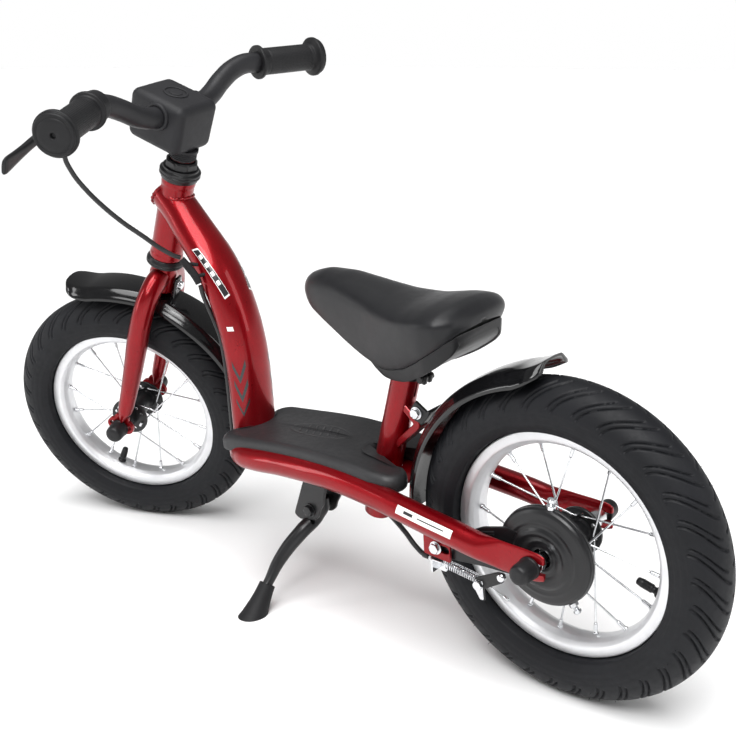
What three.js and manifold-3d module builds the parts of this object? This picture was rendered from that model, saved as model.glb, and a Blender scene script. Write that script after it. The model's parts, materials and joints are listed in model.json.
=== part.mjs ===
// Child's balance bike with 12.5 inch wheels, a quill-stem handlebar, a rear band brake worked by a hand lever,
// a step-through platform and a folding side stand.
// Frame coordinates: origin at the rear axle, X forward, Y to the rider's left, Z up the bike. Millimetres.
// The whole bike is then leaned onto its side stand, and its box is centred over the floor.
import * as THREE from "three";
import { mergeVertices } from "three/addons/utils/BufferGeometryUtils.js";
import { RoundedBoxGeometry } from "three/addons/geometries/RoundedBoxGeometry.js";
import Module from "manifold-3d";

const wasm = await Module();
wasm.setup();

// ---------- driving dimensions (mm, degrees) ----------
const GAP = 0.35; // clearance kept between touching pieces
const LEAN = 5; // lean to the left onto the side stand
const WHEELBASE = 613;
const HEAD_ANGLE = 23.05; // steering axis, back from vertical
const FORK_OFFSET = 4.1; // axle ahead of the steering axis
const STEER_WHEEL = 25.6; // fork turned left at rest
const STEER_BAR = 10.7; // handlebar turned left at rest
const TYRE_R = 153.5, TYRE_SECTION = 28.5, RIM_R = 108, RIM_HALF_WIDTH = 15;
const SPOKES = 16;
const HEAD_TUBE = { r: 18, bore: 15, z0: 222, z1: 319.5 };
const STEERER = { r: 12.7, bore: 11.45, z0: 182, z1: 345 };
const DOWN_TUBE = { deep: 19, wide: 27 };
const RAIL_R = 12.5, RAIL_Y = 52, RAIL_BEND_X = 350;
const SEAT_TUBE = { r: 14.3, bore: 13, top: [174.0, 0, 136.7], bottom: [225, 0, -34] };
const DROPOUT_Y = 58.5;
const FORK_LEG_Y = 46;
const BAR_R = 11.1, BAR_Z = 391, BAR_X = 16.5;
const GRIP_R = 15, GRIP_FLANGE_R = 18.8, GRIP_END_R = 21.8;
const REAR_GUARD_R = 164.8, FRONT_GUARD_R = 173.5, MUDGUARD_T = 2.2;
const BRAKE_R = 46.5;

// ---------- materials ----------
const mat = (color, roughness, metalness) => new THREE.MeshStandardMaterial({ color, roughness, metalness });
const RED = () => mat(0xa50f1c, 0.28, 0.55);
const BLACK_GLOSS = () => mat(0x0d0e10, 0.15, 0.0);
const BLACK_MATTE = () => mat(0x2a2b2e, 0.6, 0.1);
const BLACK_PAINT = () => mat(0x17181a, 0.38, 0.4);
const RUBBER = () => mat(0x26272a, 0.8, 0.0);
const STEEL = () => mat(0xb9bcc0, 0.3, 0.95);
const ALLOY = () => mat(0xc9ccd0, 0.35, 0.9);

// ---------- solids ----------
const V = (x, y, z) => new THREE.Vector3(x, y, z);
function solid(geometry) {
  const g = geometry.clone();
  for (const key of Object.keys(g.attributes)) if (key !== "position") g.deleteAttribute(key);
  g.morphAttributes = {};
  const m = mergeVertices(g, 1e-4);
  const tris = [];
  const ix = m.index.array;
  for (let i = 0; i < ix.length; i += 3)
    if (ix[i] !== ix[i + 1] && ix[i + 1] !== ix[i + 2] && ix[i] !== ix[i + 2]) tris.push(ix[i], ix[i + 1], ix[i + 2]);
  const make = (t) =>
    new wasm.Manifold(new wasm.Mesh({ numProp: 3, vertProperties: new Float32Array(m.attributes.position.array), triVerts: new Uint32Array(t) }));
  let s = make(tris);
  if (s.volume() < 0) {
    for (let i = 0; i < tris.length; i += 3) [tris[i + 1], tris[i + 2]] = [tris[i + 2], tris[i + 1]];
    s = make(tris);
  }
  return s;
}
function geometryOf(s) {
  const m = s.getMesh();
  const pos = new Float32Array(m.numVert * 3);
  for (let i = 0; i < m.numVert; i++) for (let k = 0; k < 3; k++) pos[i * 3 + k] = m.vertProperties[i * m.numProp + k];
  const g = new THREE.BufferGeometry();
  g.setAttribute("position", new THREE.BufferAttribute(pos, 3));
  g.setIndex(new THREE.BufferAttribute(new Uint32Array(m.triVerts), 1));
  return g;
}
const join = (...list) => list.reduce((a, b) => a.add(b));
const cut = (a, ...list) => list.reduce((s, b) => s.subtract(b), a);
function add(group, name, s, material) {
  const g = s.isBufferGeometry ? s : geometryOf(s);
  g.computeVertexNormals();
  const mesh = new THREE.Mesh(g, material);
  mesh.name = name;
  group.add(mesh);
  return mesh;
}
// straight rod from a to b
function rod(a, b, r1, r2 = r1, n = 16) {
  const A = V(...a), B = V(...b), d = B.clone().sub(A);
  const g = new THREE.CylinderGeometry(r2, r1, d.length(), n, 1);
  g.applyQuaternion(new THREE.Quaternion().setFromUnitVectors(V(0, 1, 0), d.clone().normalize()));
  const c = A.add(B).multiplyScalar(0.5);
  return solid(g.translate(c.x, c.y, c.z));
}
// lathe about Y, profile [radius, y]
const latheY = (profile, n = 32) => solid(new THREE.LatheGeometry(profile.map((p) => new THREE.Vector2(p[0], p[1])), n));
// lathe about Z, profile [radius, z]
function latheZ(profile, n = 24, phase = 0) {
  const g = new THREE.LatheGeometry(profile.map((p) => new THREE.Vector2(p[0], p[1])), n, phase);
  return solid(g.rotateX(Math.PI / 2));
}
const tubeZ = (r, bore, z0, z1, n = 24) => latheZ([[bore, z0], [r, z0], [r, z1], [bore, z1], [bore, z0]], n);
const box = (sx, sy, sz, x, y, z, ry = 0) => solid(new THREE.BoxGeometry(sx, sy, sz).rotateY(ry).translate(x, y, z));
// a round hole, or one stretched into a slot along its first axis
function roundHole(x, y, r, stretch, n = 12) {
  const pts = [];
  for (let i = 0; i < n; i++) {
    const a = ((i + 0.5) / n) * 2 * Math.PI;
    pts.push(new THREE.Vector2(x + Math.sign(Math.cos(a)) * stretch + r * Math.cos(a), y + r * Math.sin(a)));
  }
  return new THREE.Path(pts);
}
// plate in the XZ plane from an outline, between two Y values, with round holes [x, z, r]
function plateXZ(outline, y0, y1, holes = [], curveSegments = 6) {
  const shape = new THREE.Shape(outline.map((p) => new THREE.Vector2(p[0], p[1])));
  for (const [x, z, r, stretch = 0] of holes) {
    shape.holes.push(roundHole(x, z, r, stretch));
  }
  const g = new THREE.ExtrudeGeometry(shape, { depth: y1 - y0, bevelEnabled: false, curveSegments });
  return solid(g.rotateX(Math.PI / 2).translate(0, y1, 0));
}
// plate in the XY plane between two Z values
function plateXY(outline, z0, z1, holes = [], curveSegments = 6) {
  const shape = new THREE.Shape(outline.map((p) => new THREE.Vector2(p[0], p[1])));
  for (const [x, y, r] of holes) {
    shape.holes.push(roundHole(x, y, r, 0));
  }
  return solid(new THREE.ExtrudeGeometry(shape, { depth: z1 - z0, bevelEnabled: false, curveSegments }).translate(0, 0, z0));
}
// round tube along a smooth curve
function pipe(points, r, steps = 24, sides = 12, tension = 0.5) {
  const curve = new THREE.CatmullRomCurve3(points.map((p) => V(...p)), false, "catmullrom", tension);
  const shape = new THREE.Shape();
  for (let i = 0; i <= sides; i++) {
    const a = (i / sides) * 2 * Math.PI;
    i ? shape.lineTo(r * Math.cos(a), r * Math.sin(a)) : shape.moveTo(r, 0);
  }
  return solid(new THREE.ExtrudeGeometry(shape, { steps, extrudePath: curve, bevelEnabled: false }));
}
// loft: a cylinder whose rings follow stations {p, a, b}: a = half size along the in-plane normal, b = half size along the side vector
function loft(stations, { ref = [0, 1, 0], sides = 16, power = 2, closedSmooth = true, steps = null } = {}) {
  let st = stations;
  if (steps) {
    const c = new THREE.CatmullRomCurve3(stations.map((s) => V(...s.p)), false, "centripetal");
    const ab = new THREE.CatmullRomCurve3(stations.map((s) => V(s.a, s.b, 0)), false, "catmullrom", 0.5);
    st = [];
    for (let i = 0; i <= steps; i++) {
      const t = i / steps, q = c.getPoint(t), w = ab.getPoint(t);
      st.push({ p: [q.x, q.y, q.z], a: w.x, b: w.y });
    }
  }
  const n = st.length - 1;
  const g = new THREE.CylinderGeometry(1, 1, n, sides, n);
  const P = g.attributes.position;
  const frames = st.map((s, i) => {
    const p0 = V(...st[Math.max(0, i - 1)].p), p1 = V(...st[Math.min(n, i + 1)].p);
    const t = p1.sub(p0).normalize();
    const R = V(...ref);
    let side = R.clone().sub(t.clone().multiplyScalar(R.dot(t)));
    side.normalize();
    const up = new THREE.Vector3().crossVectors(side, t).normalize();
    return { o: V(...s.p), side, up, a: s.a, b: s.b };
  });
  for (let i = 0; i < P.count; i++) {
    const k = Math.round(P.getY(i) + n / 2), f = frames[k];
    let x = P.getX(i), z = P.getZ(i);
    const r = Math.hypot(x, z);
    if (r > 1e-6) {
      const e = 2 / power, cx = x / r, cz = z / r;
      x = Math.sign(cx) * Math.pow(Math.abs(cx), e) * r;
      z = Math.sign(cz) * Math.pow(Math.abs(cz), e) * r;
    }
    const q = f.o.clone().addScaledVector(f.up, x * f.a).addScaledVector(f.side, z * f.b);
    P.setXYZ(i, q.x, q.y, q.z);
  }
  return solid(g);
}
// arched sheet about the Y axis: inner radius profile [y, r] swept between two polar angles
function arch(profile, thick, a0, a1, steps, endRaise = null) {
  // closed section: outer line then inner line
  const outer = profile.map(([y, r]) => [y, r + thick / 2]), inner = profile.map(([y, r]) => [y, r - thick / 2]).reverse();
  const ring = [...outer, ...inner];
  const m = ring.length;
  const shape = new THREE.Shape(ring.map((p) => new THREE.Vector2(p[1], p[0])));
  const g = new THREE.ExtrudeGeometry(shape, { depth: 1, steps, bevelEnabled: false });
  const P = g.attributes.position;
  for (let i = 0; i < P.count; i++) {
    const t = P.getZ(i), ang = THREE.MathUtils.degToRad(a0 + (a1 - a0) * t);
    let r = P.getX(i);
    let y = P.getY(i);
    if (endRaise) [r, y] = endRaise(t, r, y);
    P.setXYZ(i, r * Math.cos(ang), y, r * Math.sin(ang));
  }
  return solid(g);
}

// ---------- groups ----------
const bike = new THREE.Group();
const frame = new THREE.Group();
bike.add(frame);
const HA = THREE.MathUtils.degToRad(HEAD_ANGLE);
const STEER_FOOT = V(WHEELBASE - FORK_OFFSET * Math.cos(HA), 0, -FORK_OFFSET * Math.sin(HA));
function steeringGroup(turn) {
  const g = new THREE.Group();
  g.position.copy(STEER_FOOT);
  g.quaternion
    .setFromAxisAngle(V(0, 1, 0), -HA)
    .multiply(new THREE.Quaternion().setFromAxisAngle(V(0, 0, 1), THREE.MathUtils.degToRad(turn)));
  return g;
}
const head = steeringGroup(0);
const fork = steeringGroup(STEER_WHEEL);
const bars = steeringGroup(STEER_BAR);
bike.add(head, fork, bars);
const rearWheel = new THREE.Group();
const frontWheel = new THREE.Group();
frontWheel.position.set(FORK_OFFSET, 0, 0);
bike.add(rearWheel);
fork.add(frontWheel);
const lever = new THREE.Group();
bars.add(lever);
const kick = new THREE.Group();
const seat = new THREE.Group();
bike.add(kick, seat);
// a solid given in head coordinates, brought to frame coordinates
const headMatrix = new THREE.Matrix4().compose(STEER_FOOT, new THREE.Quaternion().setFromAxisAngle(V(0, 1, 0), -HA), V(1, 1, 1));
const toFrame = (s) => solid(geometryOf(s).applyMatrix4(headMatrix));

// ---------- rails: one tube bent round the front of the platform, its ends flattened into the rear dropouts ----------
const railStations = (grow) => {
  const half = [
    [-12, DROPOUT_Y, 0, 11.5, 2.6], [-6, DROPOUT_Y, 0, 13.5, 2.6], [12, DROPOUT_Y, 0, 14.6, 2.6], [30, DROPOUT_Y, 0.5, 14.5, 2.8], [42, 58.3, 1.2, 13.8, 7],
    [56, 58, 2, 12.6, 11.5], [78, 57.6, 5, RAIL_R, RAIL_R], [112, 56.5, 8.5, RAIL_R, RAIL_R], [150, 54.5, 12.5, RAIL_R, RAIL_R],
    [186, 52.6, 16, RAIL_R, RAIL_R], [228, RAIL_Y, 19, RAIL_R, RAIL_R], [270, RAIL_Y, 19, RAIL_R, RAIL_R],
    [312, RAIL_Y, 16.5, RAIL_R, RAIL_R], [RAIL_BEND_X, RAIL_Y, 12.5, RAIL_R, RAIL_R],
  ];
  const bend = [];
  for (const deg of [30, 60, 90, 120, 150]) {
    const t = THREE.MathUtils.degToRad(deg);
    bend.push([RAIL_BEND_X + RAIL_Y * Math.sin(t), RAIL_Y * Math.cos(t), 12.5 - 5.5 * Math.sin(t), RAIL_R, RAIL_R]);
  }
  const all = [...half, ...bend, ...half.slice().reverse().map(([x, y, z, a, b]) => [x, -y, z, a, b])];
  return all.map(([x, y, z, a, b]) => ({ p: [x, y, z], a: a + grow, b: b + grow }));
};
// the side vector of a level bent tube is horizontal, so the reference is the vertical
function railLoft(grow, sides = 10) {
  const st = railStations(grow);
  return loft(st.map((s) => ({ p: s.p, a: s.b, b: s.a })), { ref: [0, 0, 1], sides });
}
const railSolid = railLoft(0);
const railKeepOut = railLoft(GAP);
// left anchor tab for the brake arm, welded under the left rail
const tab = plateXZ([[96, 4], [127, 4], [127, -31], [96, -33]], 46, 49, [[107, -21, 3.6, 6.5]]);
// open axle slots
const slotL = join(box(26, 12, 10.6, -11, DROPOUT_Y, 0), rod([2, DROPOUT_Y - 8, 0], [2, DROPOUT_Y + 8, 0], 5.3, 5.3, 14));
const slotR = join(box(26, 12, 10.6, -11, -DROPOUT_Y, 0), rod([2, -DROPOUT_Y - 8, 0], [2, -DROPOUT_Y + 8, 0], 5.3, 5.3, 14));
add(frame, "rail_tubes", cut(join(railSolid, tab), slotL, slotR), RED());

// ---------- head tube and down tube ----------
const headTube = tubeZ(HEAD_TUBE.r, HEAD_TUBE.bore, HEAD_TUBE.z0, HEAD_TUBE.z1, 28);
const headTubeInFrame = toFrame(headTube);
add(frame, "head_tube", headTubeInFrame, RED());
const headKeepOut = toFrame(tubeZ(HEAD_TUBE.r + GAP, 0.01, HEAD_TUBE.z0 - 30, HEAD_TUBE.z1 + 30, 28));
const downPath = [[507, 277], [487.5, 258], [468.6, 236.5], [445, 210], [425.5, 179.5], [411.8, 145.3], [404.6, 112.8], [402.3, 75.9], [402.3, 34.4], [402.3, 8]];
const downWide = [20.5, 21.5, 23.5, 25.5];
const downStations = (grow) => downPath.map(([x, z], i) => ({ p: [x, 0, z], a: DOWN_TUBE.deep + grow, b: (downWide[i] ?? DOWN_TUBE.wide) + grow }));
const downLoft = (grow) => loft(downStations(grow), { ref: [0, 1, 0], sides: 12, steps: 9 });
let downTube = downLoft(0);
downTube = cut(downTube, headKeepOut, railKeepOut, box(120, 120, 60, 402, 0, 10 - 30 - 1.5));
{
  const parts = downTube.decompose();
  downTube = parts.sort((a, b) => b.volume() - a.volume())[0];
}
add(frame, "down_tube", downTube, RED());

// ---------- seat tube with its mudguard gusset ----------
const ST = V(...SEAT_TUBE.top), SB = V(...SEAT_TUBE.bottom), SD = ST.clone().sub(SB).normalize(); // up the seat tube
const seatAt = (s) => ST.clone().addScaledVector(SD, s).toArray();
const seatLen = ST.distanceTo(SB);
let seatTube = rod(SEAT_TUBE.bottom, SEAT_TUBE.top, SEAT_TUBE.r, SEAT_TUBE.r, 20);
const gusset = plateXZ([[178, 98], [181, 92], [165.5, 77.5], [189, 55], [187, 48], [157.5, 75], [157.5, 81]], -9, 9);
seatTube = join(seatTube, gusset);
seatTube = cut(seatTube, rod(seatAt(-seatLen - 5), seatAt(5), SEAT_TUBE.bore, SEAT_TUBE.bore, 20), box(22, 3, 34, 166, 0, 119));
add(frame, "seat_tube", seatTube, RED());
const seatKeepOut = rod(seatAt(-seatLen - 5), seatAt(5), SEAT_TUBE.r + GAP, SEAT_TUBE.r + GAP, 20);

// ---------- platform plate between the rails ----------
const plateProfile = [[172, 14], [186, 16.4], [228, 19.4], [270, 19.4], [312, 16.9], [350, 12.9], [388, 7.5]];
const plateStrip = plateXZ([...plateProfile.map(([x, z]) => [x, z + 4]), ...plateProfile.slice().reverse().map(([x, z]) => [x, z + 1])], -46, 46);
const downKeepOut = downLoft(GAP + 0.1);
let platform = cut(plateStrip, railKeepOut, seatKeepOut, downKeepOut);
platform = platform.decompose().sort((a, b) => b.volume() - a.volume())[0];
add(frame, "platform_plate", platform, RED());

// ---------- step pad: rubber, lapped over both rails, notched round the down tube and the seat tube ----------
{
  const w = 54.5;
  const outline = [];
  const corner = (cx, cy, r, a0, a1, n = 4) => {
    for (let i = 0; i <= n; i++) {
      const a = THREE.MathUtils.degToRad(a0 + ((a1 - a0) * i) / n);
      outline.push([cx + r * Math.cos(a), cy + r * Math.sin(a)]);
    }
  };
  corner(388, w - 18, 18, -60, 90, 5);
  corner(300, w - 4, 2, 90, 90, 1);
  corner(178, w - 20, 18, 90, 250, 6);
  outline.push([196, 17.5], [204, 15.8], [216, 15.8], [224, 10], [226, 0]);
  const mirrored = outline.slice().reverse().map(([x, y]) => [x, -y]);
  mirrored.shift();
  const flat = plateXY([...outline, ...mirrored], 0, 1);
  const g = geometryOf(flat);
  // the pad follows the arch of the rails: built from flat slices bent to the rail height
  const prof = new THREE.CatmullRomCurve3([[150, 12.5], [186, 16], [228, 19], [270, 19], [312, 16.5], [350, 12.5], [420, 5]].map(([x, z]) => V(x, 0, z)));
  const heightAt = (x) => {
    let best = 0, bd = 1e9;
    for (let i = 0; i <= 60; i++) {
      const q = prof.getPoint(i / 60), d = Math.abs(q.x - x);
      if (d < bd) { bd = d; best = q.z; }
    }
    return best;
  };
  // cut the outline into strips along X so that the bend is followed
  let pad = null;
  const xs = [155, 195, 235, 280, 325, 370, 420];
  for (let i = 0; i + 1 < xs.length; i++) {
    const x0 = xs[i], x1 = xs[i + 1];
    const z0 = heightAt(x0), z1 = heightAt(x1);
    const strip = plateXZ([[x0, z0 + 5], [x1, z1 + 5], [x1, z1 + 21.5], [x0, z0 + 21.5]], -80, 80);
    const outlineSolid = plateXY([...outline, ...mirrored], -20, 80);
    const part = strip.intersect(outlineSolid);
    pad = pad ? pad.add(part) : part;
  }
  const plateKeepOut = plateXZ([...plateProfile.map(([x, z]) => [x, z + 4 + GAP]), ...plateProfile.slice().reverse().map(([x, z]) => [x, z - 6])], -60, 60);
  pad = cut(pad, railLoft(GAP + 0.2), seatKeepOut, downKeepOut, plateKeepOut);
  pad = pad.decompose().sort((a, b) => b.volume() - a.volume())[0];
  add(frame, "step_pad", pad, RUBBER());
}

// ---------- headset ----------
add(head, "upper_headset_cup", latheZ([[13.2, 320], [20, 320], [20.5, 324], [22.4, 325], [22.4, 330], [19.5, 332], [19.5, 334], [13.2, 334], [13.2, 320]], 20), BLACK_PAINT());
add(head, "lower_headset_cup", latheZ([[13.4, 211.5], [19, 211.5], [21.4, 213.5], [21.4, 218], [19, 221.6], [13.4, 221.6], [13.4, 211.5]], 20), BLACK_PAINT());

// ---------- fork ----------
{
  const steerer = latheZ([[STEERER.bore, 182], [12, 179], [15, 179], [15.6, 181], [15.6, 200], [14.5, 205], [14.5, 210.5], [STEERER.r, 211], [STEERER.r, STEERER.z1], [STEERER.bore, STEERER.z1], [STEERER.bore, 182]], 18);
  const crownKeepOut = latheZ([[0, 160], [16, 160], [16, 214], [0, 214]], 18);
  const leg = (s) => {
    const st = [
      { p: [0, s * 6, 197], a: 12.5, b: 12 }, { p: [0, s * 20, 194], a: 12.8, b: 12 }, { p: [0, s * 34, 183], a: 12.8, b: 11.8 },
      { p: [0, s * 43, 162], a: 12.8, b: 11.8 }, { p: [0, s * FORK_LEG_Y, 132], a: 12.8, b: 12.2 }, { p: [0, s * FORK_LEG_Y, 96], a: 12, b: 11.4 },
      { p: [0.6, s * FORK_LEG_Y, 56], a: 10.4, b: 10 }, { p: [1.6, s * FORK_LEG_Y, 26], a: 9.2, b: 8.6 }, { p: [2, s * FORK_LEG_Y, 18], a: 8.6, b: 5.5 }, { p: [2, s * FORK_LEG_Y, 12], a: 8.2, b: 2.6 },
    ];
    const tube = cut(loft(st, { ref: [1, 0, 0], sides: 12 }), crownKeepOut);
    const outline = [];
    for (let i = 0; i < 20; i++) {
      const a = (i / 20) * 2 * Math.PI;
      const r = 12.5 + 4.2 * Math.max(0, Math.cos(2 * a)) + (Math.sin(a) > 0.8 ? 4 : 0);
      outline.push([FORK_OFFSET + r * Math.cos(a), 2 + r * Math.sin(a)]);
    }
    const plate = plateXZ(outline, Math.min(s * (FORK_LEG_Y - 2.6), s * (FORK_LEG_Y + 2.6)), Math.max(s * (FORK_LEG_Y - 2.6), s * (FORK_LEG_Y + 2.6)), [
      [FORK_OFFSET - 11.5, 3, 2.4], [FORK_OFFSET + 11.5, 3, 2.4],
    ]);
    const slot = join(box(10.6, 12, 22, FORK_OFFSET, s * FORK_LEG_Y, -11), rod([FORK_OFFSET, s * (FORK_LEG_Y - 6), 0], [FORK_OFFSET, s * (FORK_LEG_Y + 6), 0], 5.3, 5.3, 14));
    return cut(join(tube, plate), slot).decompose().sort((a, b) => b.volume() - a.volume())[0];
  };
  add(fork, "fork_steerer", steerer, RED());
  add(fork, "fork_leg_left", leg(1), RED());
  add(fork, "fork_leg_right", leg(-1), RED());
  // locknut, with its eight flats
  add(fork, "headset_locknut", cut(latheZ([[14.3, 334.6], [18, 334.6], [18, 340], [16, 342.5], [14.3, 342.5], [14.3, 334.6]], 8)), BLACK_PAINT());
}

// ---------- wheels ----------
const ringProfile = (pts) => [...pts, pts[0]];
function rimSolid() {
  return latheY(ringProfile([
    [93, -6], [93, 6], [99, RIM_HALF_WIDTH], [RIM_R, RIM_HALF_WIDTH], [RIM_R, RIM_HALF_WIDTH - 1.8], [102, 12.2], [98.6, 10],
    [98.6, -10], [102, -12.2], [RIM_R, -(RIM_HALF_WIDTH - 1.8)], [RIM_R, -RIM_HALF_WIDTH], [99, -RIM_HALF_WIDTH],
  ]), 24);
}
function tyreSolid() {
  const c = TYRE_R - TYRE_SECTION, out = [], inn = [];
  for (const d of [-20, 14, 45, 75, 105, 135, 166, 200]) {
    const a = THREE.MathUtils.degToRad(d);
    out.push([c + TYRE_SECTION * Math.sin(a), TYRE_SECTION * Math.cos(a)]);
  }
  const inner = [[103.2, -10.6], [110.5, -10.8], [128, -21.5], [145, 0], [128, 21.5], [110.5, 10.8], [103.2, 10.6]];
  // outer line runs from the left bead over the tread to the right bead; below the flanges it narrows into the rim
  const outer = out.filter(([r]) => r > 109.5);
  const full = [[103.2, 11.6], [109.2, 12.6], [109.2, 15.6], ...outer, [109.2, -15.6], [109.2, -12.6], [103.2, -11.6]];
  return latheY(ringProfile([...full, ...inner]), 24);
}
function spokeSet(flangeY, holeR, seed) {
  let s = null;
  const join1 = (x) => (s = s ? s.add(x) : x);
  for (let side = -1; side <= 1; side += 2)
    for (let i = 0; i < SPOKES / 2; i++) {
      const rimDeg = (i * 2 + (side > 0 ? 0 : 1)) * (360 / SPOKES) + seed;
      const hubDeg = rimDeg + side * (i % 2 ? 60 : -60);
      const A = THREE.MathUtils.degToRad(hubDeg), B = THREE.MathUtils.degToRad(rimDeg);
      const y0 = side * (flangeY - (i % 2 ? 3.3 : 5.9));
      const a = [holeR * Math.cos(A), y0, holeR * Math.sin(A)];
      const b = [91.6 * Math.cos(B), side * 1.5, 91.6 * Math.sin(B)];
      const d = V(...b).sub(V(...a)), len = d.length();
      const g = new THREE.LatheGeometry([[0, 0], [1.1, 0], [1.1, len - 9], [1.9, len - 9], [1.9, len], [0, len]].map((q) => new THREE.Vector2(...q)), 3);
      g.applyQuaternion(new THREE.Quaternion().setFromUnitVectors(V(0, 1, 0), d.normalize())).translate(...a);
      join1(solid(g));
    }
  // ring through the spoke heads on each flange, and a light tie between the two rings
  for (let side = -1; side <= 1; side += 2) {
    const y = side * (flangeY - 4.6);
    join1(latheY(ringProfile([[holeR - 1.3, y - 2.2], [holeR + 1.3, y - 2.2], [holeR + 1.3, y + 2.2], [holeR - 1.3, y + 2.2]]), 8));
  }
  join1(rod([holeR, -(flangeY - 4), 0], [holeR, flangeY - 4, 0], 1.1, 1.1, 3));
  return s;
}
function hubSolid(flangeY, endY) {
  return latheY(ringProfile([
    [6, -endY], [9.5, -endY], [10.5, -flangeY - 1.5], [23, -flangeY - 1.5], [23, -flangeY + 1.5], [11, -flangeY + 2.5],
    [11, flangeY - 2.5], [23, flangeY - 1.5], [23, flangeY + 1.5], [10.5, flangeY + 1.5], [9.5, endY], [6, endY],
  ]), 16);
}
const valve = (deg) => {
  const a = THREE.MathUtils.degToRad(deg);
  const P = (r) => [r * Math.cos(a), 0, r * Math.sin(a)];
  return join(rod(P(91.6), P(84), 3.0, 3.0, 8), rod(P(88), P(71.5), 3.9, 3.6, 8));
};
const RH = { flange: 21, end: 27.6 }, FH = { flange: 22, end: 36 };
add(rearWheel, "rear_tyre", tyreSolid(), RUBBER());
add(rearWheel, "rear_rim", rimSolid(), ALLOY());
add(frontWheel, "front_tyre", tyreSolid(), RUBBER());
add(frontWheel, "front_rim", rimSolid(), ALLOY());
add(rearWheel, "rear_hub", hubSolid(RH.flange, RH.end), BLACK_PAINT());
add(frontWheel, "front_hub", hubSolid(FH.flange, FH.end), BLACK_PAINT());
add(rearWheel, "rear_spokes", spokeSet(RH.flange, 17, 4.5), STEEL());
add(frontWheel, "front_spokes", spokeSet(FH.flange, 17, 17.6 - HEAD_ANGLE), STEEL());
add(rearWheel, "rear_valve", valve(195), BLACK_MATTE());
add(frontWheel, "front_valve", valve(-61 - HEAD_ANGLE), BLACK_MATTE());
// how the bike stands: leaned over, both tyres on the floor
bike.updateMatrixWorld(true);
const tyrePoints = ["rear_tyre", "front_tyre"].map((name) => {
  const mesh = bike.getObjectByName(name), P = mesh.geometry.attributes.position, list = [];
  for (let i = 0; i < P.count; i++) list.push(new THREE.Vector3().fromBufferAttribute(P, i).applyMatrix4(mesh.matrixWorld));
  return list;
});
const lean = THREE.MathUtils.degToRad(LEAN);
const upFor = (pitch) => V(Math.sin(pitch), -Math.sin(lean) * Math.cos(pitch), Math.cos(lean) * Math.cos(pitch));
const lowest = (list, u) => list.reduce((m, p) => Math.min(m, p.dot(u)), Infinity);
let pitchLow = -0.05, pitchHigh = 0.05;
for (let i = 0; i < 50; i++) {
  const mid = (pitchLow + pitchHigh) / 2, u = upFor(mid);
  if (lowest(tyrePoints[0], u) < lowest(tyrePoints[1], u)) pitchHigh = mid;
  else pitchLow = mid;
}
const up = upFor((pitchLow + pitchHigh) / 2);
const floorK = lowest(tyrePoints[0], up);
// axles: threaded rods that the hubs turn on, with black end caps over their nuts
add(frame, "rear_axle", join(rod([0, -70, 0], [0, 72, 0], 4.8, 4.8, 12), rod([0, -55, 0], [0, -28.4, 0], 8.5, 8.5, 14), rod([0, 48.4, 0], [0, 55, 0], 8.5, 8.5, 14)), STEEL());
const axleCap = (side, y0, y1, r) => {
  const s = side;
  return latheY(ringProfile([[5.2, s * y0], [r * 1.02, s * y0], [r * 1.02, s * (y0 + 3)], [r * 0.97, s * (y1 - 5)], [r * 0.72, s * (y1 - 1)], [0, s * y1], [0, s * (y1 - 4.5)], [5.2, s * (y1 - 6)]]), 12);
};
add(frame, "rear_axle_cap_left", axleCap(1, DROPOUT_Y + 3, 82.5, 9.8), BLACK_MATTE());
add(frame, "rear_axle_cap_right", axleCap(-1, DROPOUT_Y + 3, 79, 9.5), BLACK_MATTE());
{
  const g = new THREE.Group();
  g.position.set(FORK_OFFSET, 0, 0);
  fork.add(g);
  add(g, "front_axle", join(rod([0, -57, 0], [0, 57, 0], 4.8, 4.8, 12), rod([0, -43, 0], [0, -36.6, 0], 8.5, 8.5, 14), rod([0, 36.6, 0], [0, 43, 0], 8.5, 8.5, 14)), STEEL());
  add(g, "front_axle_cap_left", axleCap(1, FORK_LEG_Y + 3, 69, 10.5), BLACK_MATTE());
  add(g, "front_axle_cap_right", axleCap(-1, FORK_LEG_Y + 3, 69, 10.5), BLACK_MATTE());
}

// ---------- mudguards ----------
function mudguard(R, halfWidth, drop, lift, a0, a1, steps, tipAtStart, narrow = 0) {
  const w = halfWidth;
  const prof = [[-w, R - drop], [-w * 0.85, R - drop * 0.4], [-w * 0.4, R], [w * 0.4, R], [w * 0.85, R - drop * 0.4], [w, R - drop]];
  const raise = (t, r, y) => {
    const e = tipAtStart ? t : 1 - t;
    const k = Math.max(0, 1 - e / 0.11);
    const waist = 1 - narrow * Math.exp(-(((t - 0.41) / 0.14) ** 2));
    return [r + lift * k * k, y * waist * (1 - 0.05 * k * k)];
  };
  return arch(prof, MUDGUARD_T, a0, a1, steps, raise);
}
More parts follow.
